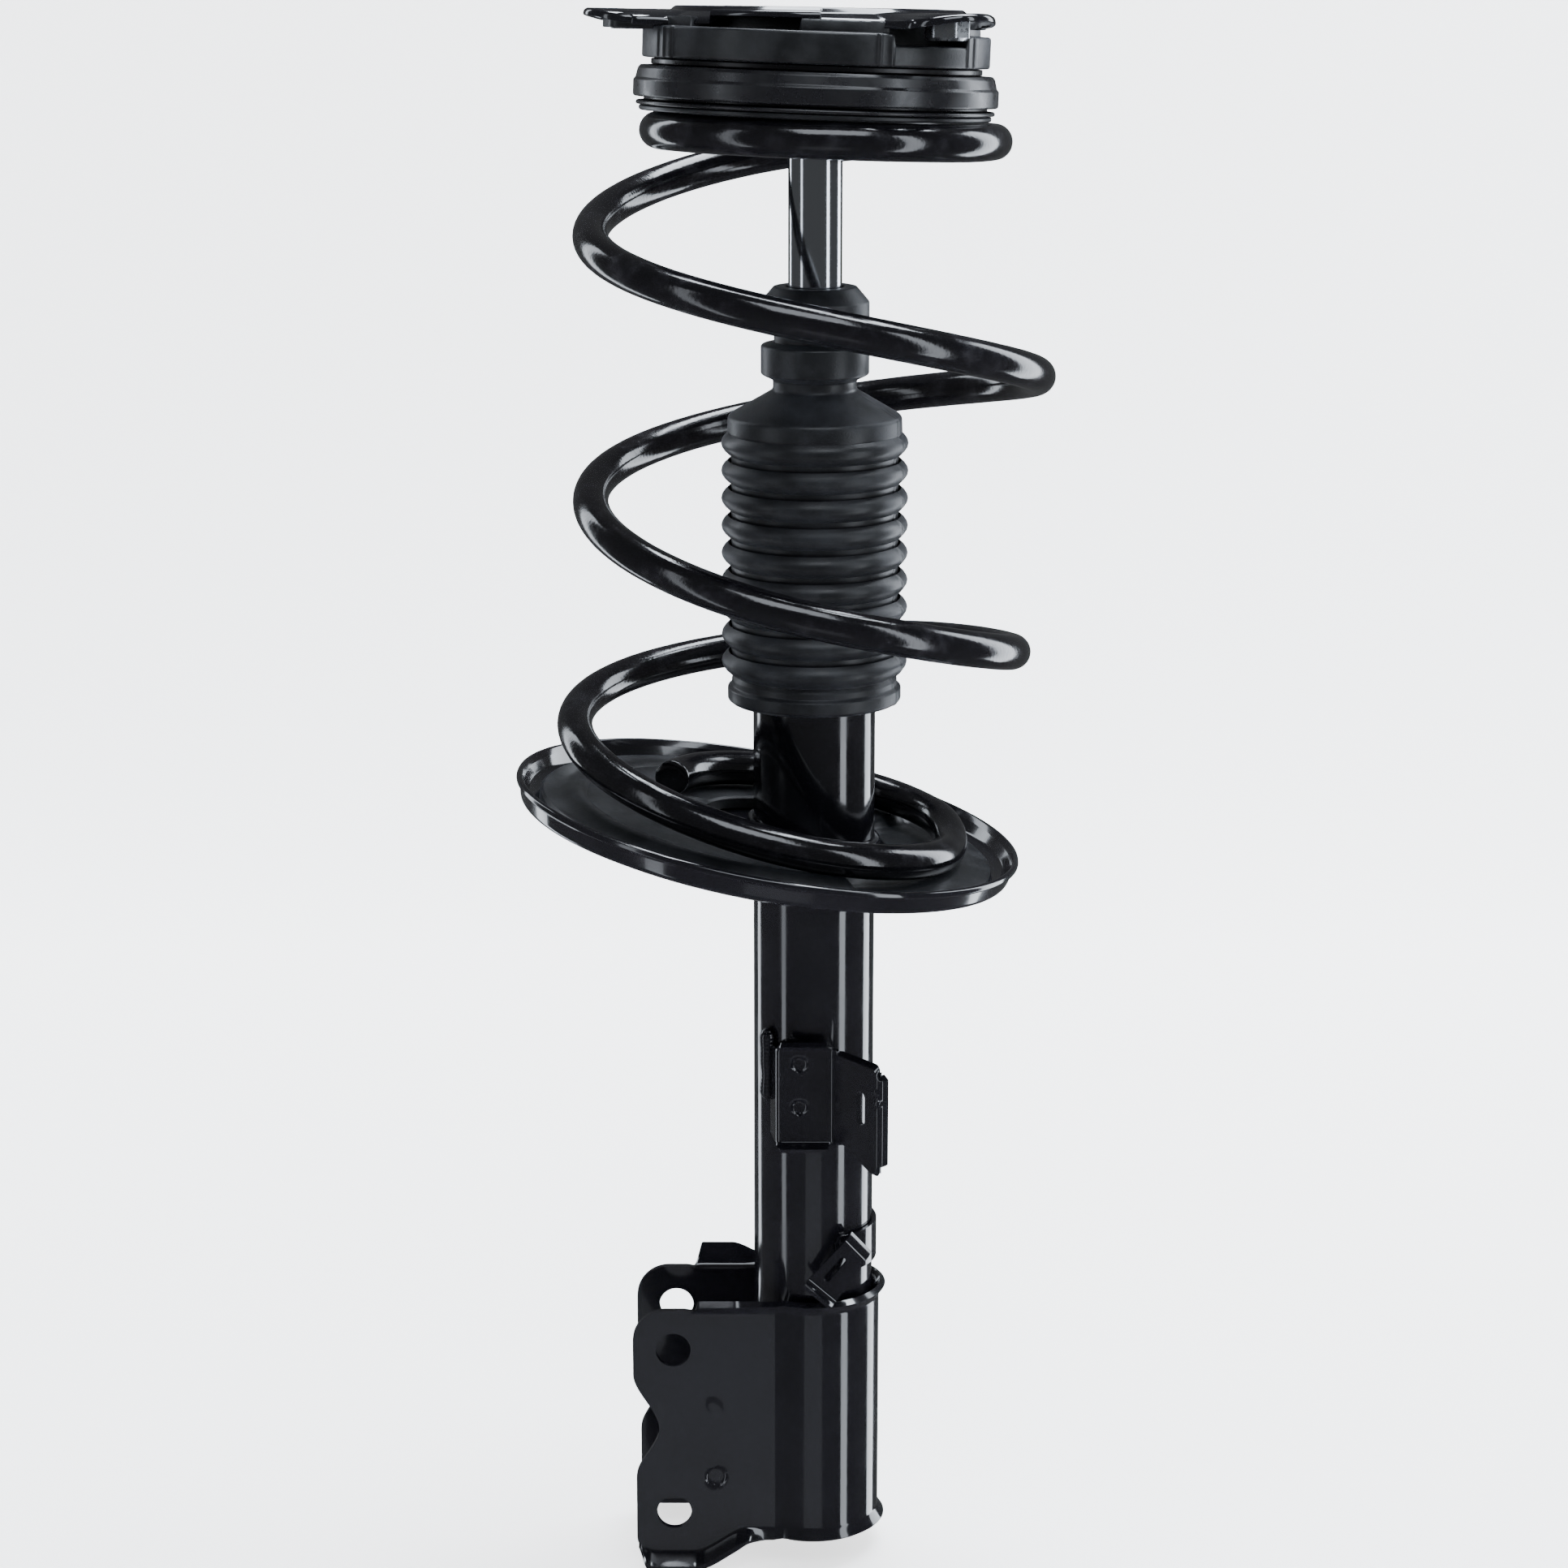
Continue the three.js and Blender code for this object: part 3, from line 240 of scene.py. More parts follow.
def weathered(name, base, patches, rough, grain=None, tones=None, stretch=None, **shader_values):
    """A material whose roughness wanders over soft patches, with a fine grain in its surface.

    patches: size in mm, detail and roughness of the noise; with stretch, the scale on each axis
    replaces the size. rough: the noise values between which the roughness goes from one value to
    the other. grain: size in mm, detail, strength and depth in mm; a size of None takes the
    patches. tones: two colours, and the noise values between which one turns into the other."""
    made, tree, shader = material(name, base, **shader_values)
    place = add_node(tree, "ShaderNodeTexCoord").outputs["Object"]
    size, detail, roughness = patches
    if stretch:
        place = add_node(tree, "ShaderNodeMapping", None, {"Scale": stretch}, Vector=place).outputs["Vector"]
    patch = add_node(tree, "ShaderNodeTexNoise", None,
                     {"Scale": 1.0 if stretch else 1.0 / (size * MM), "Detail": detail,
                      "Roughness": roughness}, Vector=place).outputs["Fac"]
    low, high, smooth, dull = rough
    ranged = add_node(tree, "ShaderNodeMapRange", {"interpolation_type": "SMOOTHSTEP"},
                      {"From Min": low, "From Max": high, "To Min": smooth, "To Max": dull}, Value=patch)
    tree.links.new(ranged.outputs["Result"], shader.inputs["Roughness"])
    if grain:
        grain_size, grain_detail, strength, depth = grain
        height = patch
        if grain_size:
            height = add_node(tree, "ShaderNodeTexNoise", None,
                              {"Scale": 1.0 / (grain_size * MM), "Detail": grain_detail,
                               "Roughness": 0.55}, Vector=place).outputs["Fac"]
        bump = add_node(tree, "ShaderNodeBump", None, {"Strength": strength, "Distance": depth * MM},
                        Height=height)
        tree.links.new(bump.outputs["Normal"], shader.inputs["Normal"])
    if tones:
        first, second, span = tones
        factor = patch
        if span:
            factor = add_node(tree, "ShaderNodeMapRange", {"interpolation_type": "SMOOTHSTEP"},
                              {"From Min": span[0], "From Max": span[1]}, Value=patch).outputs["Result"]
        tone = add_node(tree, "ShaderNodeMix", {"data_type": "RGBA"})
        tone.inputs["A"].default_value = colour(first)
        tone.inputs["B"].default_value = colour(second)
        tree.links.new(factor, tone.inputs["Factor"])
        tree.links.new(tone.outputs["Result"], shader.inputs["Base Color"])
    return made


def electrocoat():
    """Black cathodic electrocoat on pressed steel: a thin wet-looking film that levels into a soft
    orange peel with a faint haze, so highlights are long, bright and a little wavy."""
    return weathered("black electrocoat", "#0c0c0f", (26, 3, 0.55), (0.35, 0.7, 0.09, 0.17),
                     grain=(3.2, 2, 0.025, 0.6), tones=("#0a0a0d", "#15151a", None),
                     IOR=1.55, Coat_Weight=0.5, Coat_Roughness=0.05)


def spring_enamel():
    """Black powder enamel on shot-peened spring wire: fuller and slightly pebbled, with the peening
    showing through as fine dimples and a few rubbed scuffs."""
    return weathered("black spring enamel", "#101013", (14, 6, 0.7), (0.5, 0.72, 0.13, 0.25),
                     grain=(1.5, 3, 0.10, 0.6), tones=("#0c0c0f", "#1e1e22", (0.48, 0.75)),
                     IOR=1.52, Coat_Weight=0.25, Coat_Roughness=0.08)


def moulded_rubber(name, base, light, roughness, grain):
    """Compression-moulded natural rubber: a satin skin with bloom in soft patches and a faint grain
    from the mould, which breaks up its broad highlights."""
    made = weathered(name, base, (18, 5, 0.6), (0.35, 0.7, roughness - 0.06, roughness + 0.1),
                     grain=(grain, 3, 0.12, 0.5), tones=(base, light, (0.4, 0.75)),
                     IOR=1.5, Sheen_Weight=0.12, Sheen_Roughness=0.5)
    made.node_tree.nodes["Principled BSDF"].inputs["Sheen Tint"].default_value = colour("#8a8f9a")
    return made


def bearing_nylon():
    """Glass-filled black nylon, injection moulded: smooth satin with faint flow marks."""
    return weathered("black bearing nylon", "#141417", (9, 4, 0.55), (0.3, 0.7, 0.24, 0.36),
                     grain=(0.8, 2, 0.06, 0.3), IOR=1.53)


def hard_chrome():
    """Ground and polished hard chrome on the piston rod: a mirror with hair-fine grinding lines
    round the rod that stretch each highlight along it."""
    return weathered("hard chrome", "#c4c7cc", (None, 3, 0.5), (0.3, 0.7, 0.06, 0.13),
                     grain=(None, None, 0.03, 0.1), stretch=(20.0, 20.0, 4000.0), Metallic=1.0)


def bright_zinc():
    """Electroplated zinc on the nuts: pale blue-grey metal, satin, mottled by handling."""
    return weathered("bright zinc plate", "#c9ccd0", (2.5, 4, 0.55), (0.3, 0.7, 0.22, 0.42),
                     tones=("#d5d7da", "#a9adb3", None), Metallic=1.0)


def bare_steel():
    """Machined steel of the inner pieces: fine turning marks under a film of oil."""
    return weathered("machined steel", "#9a9da1", (1.2, 4, 0.55), (0.3, 0.7, 0.2, 0.4),
                     Metallic=1.0, Coat_Weight=0.2)


PAINT = electrocoat()
ENAMEL = spring_enamel()
MOUNT_RUBBER = moulded_rubber("moulded mount rubber", "#101113", "#1d1e21", 0.36, 1.1)
BOOT_RUBBER = moulded_rubber("moulded boot rubber", "#131417", "#222429", 0.42, 0.8)
NYLON = bearing_nylon()
CHROME = hard_chrome()
ZINC = bright_zinc()
STEEL = bare_steel()


# ------------------------------------------------------------------ coil spring
def coil_rows():
    """Turn angle, distance from the axis and height of the wire's middle. The first rows lie under
    the upper isolator and the last on the pad, each in its tilted plane; the others are free."""
    def against(place, height, rows):
        middle = place @ np.array([0, 0, height, 1])
        normal = place[:3, 2]
        filled = [rows[0]]
        for before, after in zip(rows, rows[1:]):
            for part in (1 / 3, 2 / 3, 1):
                filled.append(tuple(b + (a - b) * part for b, a in zip(before, after)))
        result = []
        for angle, radius in filled:
            x, y = radius * math.cos(math.radians(angle)), radius * math.sin(math.radians(angle))
            fall = (normal[0] * (x - middle[0]) + normal[1] * (y - middle[1])) / normal[2]
            result.append((angle, radius, middle[2] - fall))
        return result
    contact = CLEAR + WIRE_RADIUS + 0.1
    top = against(MOUNT, ISOLATOR_BOTTOM - contact, COIL_TOP)
    bottom = against(SEAT, PAD_TOP + contact, COIL_BOTTOM)
    return np.array([*top, *COIL_FREE, *bottom], float)


def smooth_between(rows, angles):
    """Cubic through the rows with slopes taken across each row's neighbours."""
    known = rows[:, 0]
    ahead, behind = np.roll(rows, -1, axis=0), np.roll(rows, 1, axis=0)
    ahead[-1], behind[0] = rows[-1], rows[0]
    slopes = (ahead[:, 1:] - behind[:, 1:]) / (ahead[:, :1] - behind[:, :1])
    i = np.clip(np.searchsorted(known, angles) - 1, 0, len(known) - 2)
    span = (known[i + 1] - known[i])[:, None]
    s = ((angles - known[i])[:, None]) / span
    return ((2 * s**3 - 3 * s**2 + 1) * rows[i, 1:] + (s**3 - 2 * s**2 + s) * span * slopes[i]
            + (3 * s**2 - 2 * s**3) * rows[i + 1, 1:] + (s**3 - s**2) * span * slopes[i + 1])


def spring():
    """Round wire: section circles of radius WIRE_RADIUS across the coil's line, with the sheared
    ends closed by a small chamfer and a flat face."""
    rows = coil_rows()
    angles = np.linspace(rows[0, 0], rows[-1, 0], 900)
    radius, height = smooth_between(rows, angles).T
    turn = np.radians(angles)
    line = np.stack([radius * np.cos(turn), radius * np.sin(turn), height], axis=-1)
    along = np.gradient(line, axis=0)
    along /= np.linalg.norm(along, axis=1, keepdims=True)
    side = np.cross(along, [0, 0, 1.0])
    side /= np.linalg.norm(side, axis=1, keepdims=True)
    up = np.cross(side, along)
    sides = 32
    circle = np.linspace(0, 2 * math.pi, sides, endpoint=False)
    section = (np.cos(circle)[None, :, None] * side[:, None, :]
               + np.sin(circle)[None, :, None] * up[:, None, :])
    wire = line[:, None, :] + WIRE_RADIUS * section
    start = [line[0] + along[0] * shift + share * WIRE_RADIUS * section[0]
             for shift, share in ((-0.5, 0.0), (-0.5, 0.55), (-0.5, 0.92), (-0.3, 0.97))]
    end = [line[-1] - along[-1] * shift + share * WIRE_RADIUS * section[-1]
           for shift, share in ((-0.3, 0.97), (-0.5, 0.92), (-0.5, 0.55), (-0.5, 0.0))]
    points = np.concatenate([np.array(start), wire, np.array(end)])
    faces = grid_quads(len(points), sides, around_columns=True)
    item = piece("wound_spring", points, faces, ENAMEL, None, ["coil_spring"])
    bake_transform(item)
    ride_by_turn(item, line)


def ride_by_turn(item, line):
    """Finds, for every point of the wire, the nearest of every third point along the coil's line; nothing is
    done with the result."""
    places = np.empty(3 * len(item.data.vertices))
    item.data.vertices.foreach_get("co", places)
    places = places.reshape(-1, 3) / MM
    nearest = np.empty(len(places), int)
    guess = line[::3]
    for i in range(0, len(places), 2000):
        gap = np.linalg.norm(places[i:i + 2000, None, :] - guess[None, :, :], axis=2)
        nearest[i:i + 2000] = gap.argmin(axis=1)


# ------------------------------------------------------------------ rod, boot and tube
def piston_rod():
    turned("chromed_rod", [
        (0, -238), (6, -238, 0.6), (6, -209.3), (ROD_RADIUS, -209.3, 0.6),
        (ROD_RADIUS, ROD_SHOULDER, 0.8), (7, ROD_SHOULDER), (7, -12, 1.0), (0, -12),
    ], CHROME, "seat_and_rod", ["piston_rod"], sides=96)


def boot_outline():
    """Collar with its ring, neck, shoulder, then nine beads a pitch apart and the bottom ring.
    Each bead is an arc that swells from the valley radius to the bead radius."""
    outer = [
        (11.9, BOOT_TOP, 0.6), (17.0, BOOT_TOP, 1.2), (22.2, -116.6, 1.5), (22.2, -127.0, 1.4),
        (15.9, -129.0, 1.0), (15.9, -132.6, 1.0), (22.2, -134.2, 1.2), (22.2, -146.0, 1.2),
        (17.2, -148.4, 1.5), (17.2, -152.4, 2.0), (35.8, -163.4, 2.5), (36.0, -169.5, 1.5),
    ]
    pitch, first, valley, bead = 11.4, -174.4, 33.2, 38.5
    for i in range(9):
        middle = first - i * pitch
        for step in np.linspace(-0.5, 0.5, 9)[:-1]:
            swell = math.cos(math.pi * step) ** 0.8 if abs(step) < 0.5 else 0.0
            outer.append((valley + (bead - valley) * swell, middle - step * -pitch))
    outer += [
        (33.4, first - 8.5 * pitch, 0.8), (34.4, -273.0, 1.5), (34.4, -275.4, 0.8), (36.1, -276.6, 0.8),
        (36.1, -281.4, 1.2), (34.6, BOOT_BOTTOM, 0.8), (29.5, BOOT_BOTTOM, 0.8),
    ]
    inner = [(29.5, -275), (31.0, -268), (31.0, -174), (27.6, -163.6), (16.8, -163.6),
             (16.8, -115.6), (11.9, -115.6)]
    return outer + inner


def dust_boot():
    def seam(r, z, angle):
        """A raised mould seam, 0.5 mm high and 2 mm wide, down both sides."""
        for place in (-20.0, 160.0):
            away = (angle - place + 180) % 360 - 180
            r = r + np.where(r > 29, 0.5, 0.0) * np.exp(-(np.radians(away) * r / 0.9) ** 2)
        return r, z
    turned("bellows_boot", boot_outline(), BOOT_RUBBER, "damper", ["dust_boot"], sides=360, shaping=seam,
           crease=50)


def bump_stop():
    outline = [(11.9, -163.6, 1), (15.4, -163.6, 1)]
    for step in np.linspace(0, 1, 33):
        outline.append((15.2 + 1.1 * math.cos(2 * math.pi * step * 3), -162.6 + 44.0 * step))
    outline += [(15.0, -118.0, 1), (11.9, -118.0, 1)]
    turned("foam_stop", outline, BOOT_RUBBER, "damper", ["bump_stop"], sides=64)


def damper_tube():
    turned("coated_tube", [
        (16.2, TUBE_TOP - 3), (16.2, TUBE_TOP, 0.8), (23.2, TUBE_TOP, 1.6), (TUBE_RADIUS, TUBE_TOP - 3, 2),
        (TUBE_RADIUS, TUBE_BOTTOM, 0.6), (23.5, TUBE_BOTTOM, 0.3), (23.5, TUBE_TOP - 3.2, 1.0),
    ], PAINT, "damper", ["outer_tube"], sides=192)


# ------------------------------------------------------------------ top mount
def bearing_upper_case():
    turned("upper_bearing_shell", [
        (30, -28.2, 0.4), (30, CASE_TOP, 0.4), (70.6, CASE_TOP, 0.9), (71.6, -25.8, 0.8),
        (72.4, -29.3, 0.8), (CASE_RADIUS, -30.4, 0.9), (CASE_RADIUS, CASE_BOTTOM, 1.0),
        (69.9, CASE_BOTTOM, 0.4), (69.9, -30.2, 0.5), (67.9, -28.2, 0.5),
    ], NYLON, "top_mount", ["bearing_upper_case"], MOUNT)


def bearing_lower_case():
    turned("lower_bearing_shell", [
        (32, -38.1), (32, -32.8, 0.4), (68.9, -32.8, 0.4), (68.9, LIP_TOP, 0.8), (71.6, LIP_TOP, 0.6),
        (72.2, -39.2, 0.6), (71.7, LIP_BOTTOM, 0.5), (63.3, LIP_BOTTOM), (63.3, -38.1),
    ], NYLON, "seat_and_rod", ["bearing_lower_case"], MOUNT)


def support_ring():
    turned("support_step", [
        (31, -24.2), (31, -21.9), (66.4, -21.9, 0.5), (66.4, -24.2, 0.5),
    ], NYLON, "top_mount", ["insulator_support_ring"], MOUNT)


def upper_isolator():
    turned("isolator_ring", [
        (51, ISOLATOR_TOP), (70.8, ISOLATOR_TOP, 0.7), (70.8, ISOLATOR_BOTTOM, 0.9),
        (55.2, ISOLATOR_BOTTOM, 0.8), (54.2, ISOLATOR_BOTTOM - 1.2), (53.4, -55.3, 1.2), (51, -55.3, 0.8),
    ], MOUNT_RUBBER, "seat_and_rod", ["upper_spring_isolator"], MOUNT)


# ------------------------------------------------------------------ lower seat
def loops(name, rows, material, body, nodes, crease=38.0):
    """A closed skin over rings of points that run round the part, the last joined to the first."""
    rows = np.array(rows)
    faces = grid_quads(rows.shape[0], rows.shape[1], around_rows=True, around_columns=True)
    return piece(name, rows, faces, material, body, nodes, crease)


def lower_seat():
    """Deep-drawn dish in its tilted frame round its own middle, with a collar round the tube. The
    rings slide from the tube's middle to the dish's middle between radius 30 and 60."""
    floor = -SEAT_DEPTH
    outline = rounded([
        (25.9, floor + 7.5, 0.5), (28.4, floor + 7.5, 0.9), (28.4, floor, 3.0), (95.0, floor, 3.5),
        (101.6, floor + 2.4, 3.0), (103.6, -2.4, 2.4), (105.2, 0.5, 1.3), (106.9, -0.3, 0.9),
        (107.35, -2.0, 0.6), (105.7, -2.9, 0.7), (104.2, floor + 0.4, 3.0), (95.6, floor - 2.5, 4.0),
        (30.5, floor - 2.5, 3.0), (28.6, floor - 9.5, 0.8), (25.9, floor - 9.5, 0.4),
    ], 6)
    a = np.linspace(0, 2 * math.pi, 288, endpoint=False)
    rows = []
    for r, z in outline:
        share = np.clip((60.0 - r) / 30.0, 0, 1)
        lean = z * math.tan(math.radians(SEAT_TURN))
        across = share * (-SEAT_X / math.cos(math.radians(SEAT_TURN)) - lean)
        rows.append(np.stack([r * np.cos(a) + across, r * np.sin(a), np.full_like(a, z)], axis=-1))
    loops("pressed_seat", placed(np.array(rows), SEAT), PAINT, "damper", ["lower_spring_seat"])


def spring_pad():
    """Rubber pad: its top lies lower between two ramps, where the coil comes down onto it, and a
    low rib runs round outside the wire."""
    a = np.linspace(-180, 180, 480, endpoint=False)
    low = smooth_step(a, -68, -64) - smooth_step(a, 36, 42)
    top = PAD_TOP - 3.0 * low
    bottom = -SEAT_DEPTH + CLEAR
    rows = []
    for r, up in ((40.6, 0.0), (40.0, 0.12), (40.0, 0.85), (40.8, 1.0), (76.0, 1.0), (77.0, 1.0),
                  (79.0, 1.32), (83.0, 1.42), (86.0, 1.3), (88.5, 1.0), (95.2, 0.92), (96.4, 0.7),
                  (96.4, 0.1), (95.8, 0.0)):
        share = np.clip((70.0 - r) / 30.0, 0, 1)
        x = r * np.cos(np.radians(a)) + 12.0 * share
        rows.append(np.stack([x, r * np.sin(np.radians(a)), bottom + (top - bottom) * up], axis=-1))
    loops("rubber_pad", placed(np.array(rows), SEAT), MOUNT_RUBBER, "damper", ["lower_spring_pad"])


def smooth_step(x, start, end):
    """0 before start, 1 after end and a smooth rise between."""
    t = np.clip((x - start) / (end - start), 0, 1)
    return t * t * (3 - 2 * t)


def from_ear(angles, ear):
    """Angle from an ear's middle line, -180 to 180 degrees."""
    return (angles - ear + 180) % 360 - 180


# ------------------------------------------------------------------ mount plate and rubber
def plate_edge(angles):
    """Distance of the plate's edge: a disc, and round each ear the far side of a circle of
    EAR_RADIUS round the bolt. Also the share of 'ear', 0 on the disc and 1 on the ears."""
    edge, share = np.full_like(angles, PLATE_RADIUS), np.zeros_like(angles)
    for ear in EAR_ANGLES:
        away = np.abs(from_ear(angles, ear))
        inner = np.radians(np.minimum(away, 13.2))
        far = EAR_CIRCLE * np.cos(inner) + np.sqrt(EAR_RADIUS**2 - (EAR_CIRCLE * np.sin(inner))**2)
        blend = 1 - smooth_step(away, 13.2, 19.5)
        edge = np.maximum(edge, PLATE_RADIUS + (far - PLATE_RADIUS) * blend)
        share = np.maximum(share, 1 - smooth_step(away, 14.5, 18.0))
    return edge, share


def arch(r, angles):
    """How far an ear's sheet falls to either side of its middle line: it is pressed as an arch."""
    fall = np.zeros_like(angles)
    for ear in EAR_ANGLES:
        away = from_ear(angles, ear)
        sideways = np.abs(r * np.sin(np.radians(away)))
        near = (np.abs(away) < 40) * smooth_step(r, 56, 68)
        fall += near * 2.6 * np.minimum(sideways / 18.0, 1.15) ** 2.4
    return fall


def mount_plate():
    """Pressed plate: the rings run from the centre hole over the raised middle and the step to the
    edge, down the turned edge of the ears and back underneath."""
    a = np.linspace(0, 360, 900, endpoint=False)
    edge, ear = plate_edge(a)
    rows = []

    def ring(r, z):
        rows.append(np.stack([r * np.cos(np.radians(a)), r * np.sin(np.radians(a)),
                              z - arch(r, a)], axis=-1))
    flat = np.ones_like(a)
    profile = [(PLATE_BORE, PLATE_UNDER), (PLATE_BORE, 0, 1.2), (57.5, 0, 1.5),
               (59.5, PLATE_STEP, 1.5), (62, PLATE_STEP)]
    for r, z in rounded(profile)[1:]:
        ring(r * flat, z * flat)
    rim = edge - 1.6
    ring((62 + rim) / 2, PLATE_STEP * flat)
    ring(rim, PLATE_STEP * flat)
    skirt = ear * EAR_SKIRT
    for out, down in ((0.75, 0.35), (1.35, 0.95), (1.6, 1.8)):
        ring(rim + out, PLATE_STEP - down * flat)
    ring(edge, PLATE_UNDER + 0.3 - skirt)
    ring(edge - 0.3, PLATE_UNDER - skirt)
    ring(edge - 0.6 - 1.6 * ear, PLATE_UNDER - skirt)
    ring(edge - 0.9 - 1.7 * ear, PLATE_UNDER * flat)
    ring((62 + rim) / 2 - 1, PLATE_UNDER * flat)
    ring(60 * flat, PLATE_UNDER * flat)
    ring((PLATE_BORE + 0.5) * flat, PLATE_UNDER * flat)
    ring(PLATE_BORE * flat, (PLATE_UNDER + 0.4) * flat)
    plate = loops("pressed_plate", placed(np.array(rows), PLATE), PAINT, "top_mount",
                  ["mount_plate"])
    for ear_angle in EAR_ANGLES:
        middle = [EAR_CIRCLE * math.cos(math.radians(ear_angle)),
                  EAR_CIRCLE * math.sin(math.radians(ear_angle)), PLATE_UNDER]
        drill(plate, placed(np.array([middle]), PLATE)[0], PLATE[:3, 2], NUT_BORE, 14)


def drill(item, middle, along, radius, length, stretch=(0, 0, 0)):
    """Cuts a round hole through a piece, or a slot: the hull of two circles half the stretch either
    side of the middle, carried along the given direction."""
    along, stretch = np.array(along, float), np.array(stretch, float)
    side = np.cross(along, [0, 0, 1.0] if abs(along[2]) < 0.9 else [1.0, 0, 0])
    side /= np.linalg.norm(side)
    up = np.cross(side, along)
    t = np.linspace(0, 2 * math.pi, 48, endpoint=False)
    circle = radius * (np.cos(t)[:, None] * side + np.sin(t)[:, None] * up)
    circle += np.sign(circle @ stretch + 1e-9)[:, None] * stretch / 2
    ends = [np.array(middle) + circle + along * length / 2 * sign for sign in (-1, 1)]
    count = len(t)
    faces = [list(range(count)), list(range(2 * count - 1, count - 1, -1))]
    faces += [[i, i + count, (i + 1) % count + count, (i + 1) % count] for i in range(count)]
    tool_mesh = bpy.data.meshes.new("drill")
    tool_mesh.from_pydata((np.concatenate(ends) * MM).tolist(), [], faces)
    shape = bmesh.new()
    shape.from_mesh(tool_mesh)
    bmesh.ops.recalc_face_normals(shape, faces=shape.faces)
    shape.to_mesh(tool_mesh)
    shape.free()
    cutter = bpy.data.objects.new("drill", tool_mesh)
    bpy.context.scene.collection.objects.link(cutter)
    cut = item.modifiers.new("hole", "BOOLEAN")
    cut.operation, cut.object, cut.solver = "DIFFERENCE", cutter, "EXACT"
    bpy.context.view_layer.update()
    done = bpy.data.meshes.new_from_object(item.evaluated_get(bpy.context.evaluated_depsgraph_get()))
    item.modifiers.remove(cut)
    old, item.data = item.data, done
    bpy.data.meshes.remove(old)
    bpy.data.objects.remove(cutter)
    item.data.set_sharp_from_angle(angle=math.radians(32))


def weld_nuts():
    """Hexagon weld nuts: apothem over cos of the angle to the nearest flat, with a chamfered foot."""
    for i, (ear, height) in enumerate(zip(EAR_ANGLES, (7.6, 7.6, 5.2))):
        def hexagon(r, z, angle):
            to_flat = np.radians(((angle + 12) % 60) - 30)
            flats = np.minimum(7.9 / np.cos(to_flat), 8.75)
            return np.where(r > 6.5, np.minimum(r, flats), r), z
        middle = turned_frame(0, 0, (EAR_CIRCLE * math.cos(math.radians(ear)),
                                     EAR_CIRCLE * math.sin(math.radians(ear)), PLATE_UNDER - CLEAR))
        outline = [(NUT_BORE, 0), (8.75, 0, 0.3), (8.75, 1.2 - height, 0), (7.2, -height, 0.4),
                   (5.0, -height, 0.3), (NUT_BORE, -height + 0.7)]
        turned(f"hexagon_nut_{i + 1}", outline, ZINC, "top_mount", [f"weld_nut_{i + 1}"],
               PLATE @ middle, sides=120, crease=25, shaping=hexagon)


def insulator():
    """Moulded rubber block: blocks reach up to the plate, slots between them are set back, and a
    fatter boss with upright ribs carries each nut."""
    a = np.linspace(0, 360, 1200, endpoint=False)
    slot_share, nut_room, boss = (np.zeros_like(a) for _ in range(3))
    for i, ear in enumerate(EAR_ANGLES):
        away = from_ear(a, ear)
        slot_share += smooth_step(away, -88, -86.5) - smooth_step(away, -47.5, -46)
        if i < 2:
            nut_room += smooth_step(away, -16.5, -15) - smooth_step(away, 15, 16.5)
        boss += smooth_step(away, -21.5, -20.5) - smooth_step(away, 24, 25)
        for rib in (-20.5, -16.5, 16.5, 20.5):
            boss += 0.5 * np.exp(-((away - rib) / 0.8) ** 2)
    block = 1 - np.clip(slot_share + nut_room, 0, 1)
    body = INSULATOR_RADIUS + 0.9 * boss
    top = -8.8 * np.ones_like(a)
    top = top * (1 - block) - 4.5 * block
    top = top * (1 - nut_room) - 13.2 * nut_room
    upper = 67.0 * block + 61.5 * (1 - block)
    upper = upper * (1 - nut_room) + 60.0 * nut_room
    shelf = np.minimum(-9.0, top)
    flutes = 0.35 * np.cos(np.radians(a * 90)) * slot_share
    rows = []

    def ring(r, z):
        r, z = r + 0 * a, z + 0 * a
        rows.append(np.stack([r * np.cos(np.radians(a)), r * np.sin(np.radians(a)), z], axis=-1))
    ring(27, INSULATOR_BOTTOM)
    ring(body - 1.0, INSULATOR_BOTTOM)
    ring(body - 0.3, INSULATOR_BOTTOM + 0.3)
    ring(body, INSULATOR_BOTTOM + 1.0)
    ring(body, shelf - 1.2)
    ring(body - 0.25, shelf - 0.5)
    ring(body - 0.9, shelf - 0.05)
    ring(upper + 0.5, shelf)
    ring(upper + 0.15 + flutes, shelf + 0.25 * (1 - nut_room))
    ring(upper + flutes, np.maximum(shelf, top - 0.8))
    ring(upper - 0.3, np.maximum(shelf, top - 0.2))
    ring(upper - 0.9, np.maximum(shelf, top))
    ring(57.5, np.maximum(shelf, top))
    ring(56.5, -4.5)
    ring(27.6, -4.5)
    ring(27, -5.1)
    points = placed(np.array(rows), MOUNT)
    under_plate(points)
    loops("moulded_insulator", points, MOUNT_RUBBER, "top_mount", ["mount_insulator"],
          crease=45)
    ear_tab()


def under_plate(points):
    """Presses what would reach into the plate down to just under it."""
    up = PLATE[:3, 2]
    height = (points - PLATE[:3, 3]) @ up
    over = np.maximum(height - PLATE_UNDER + 0.25, 0)
    points -= over[..., None] * up


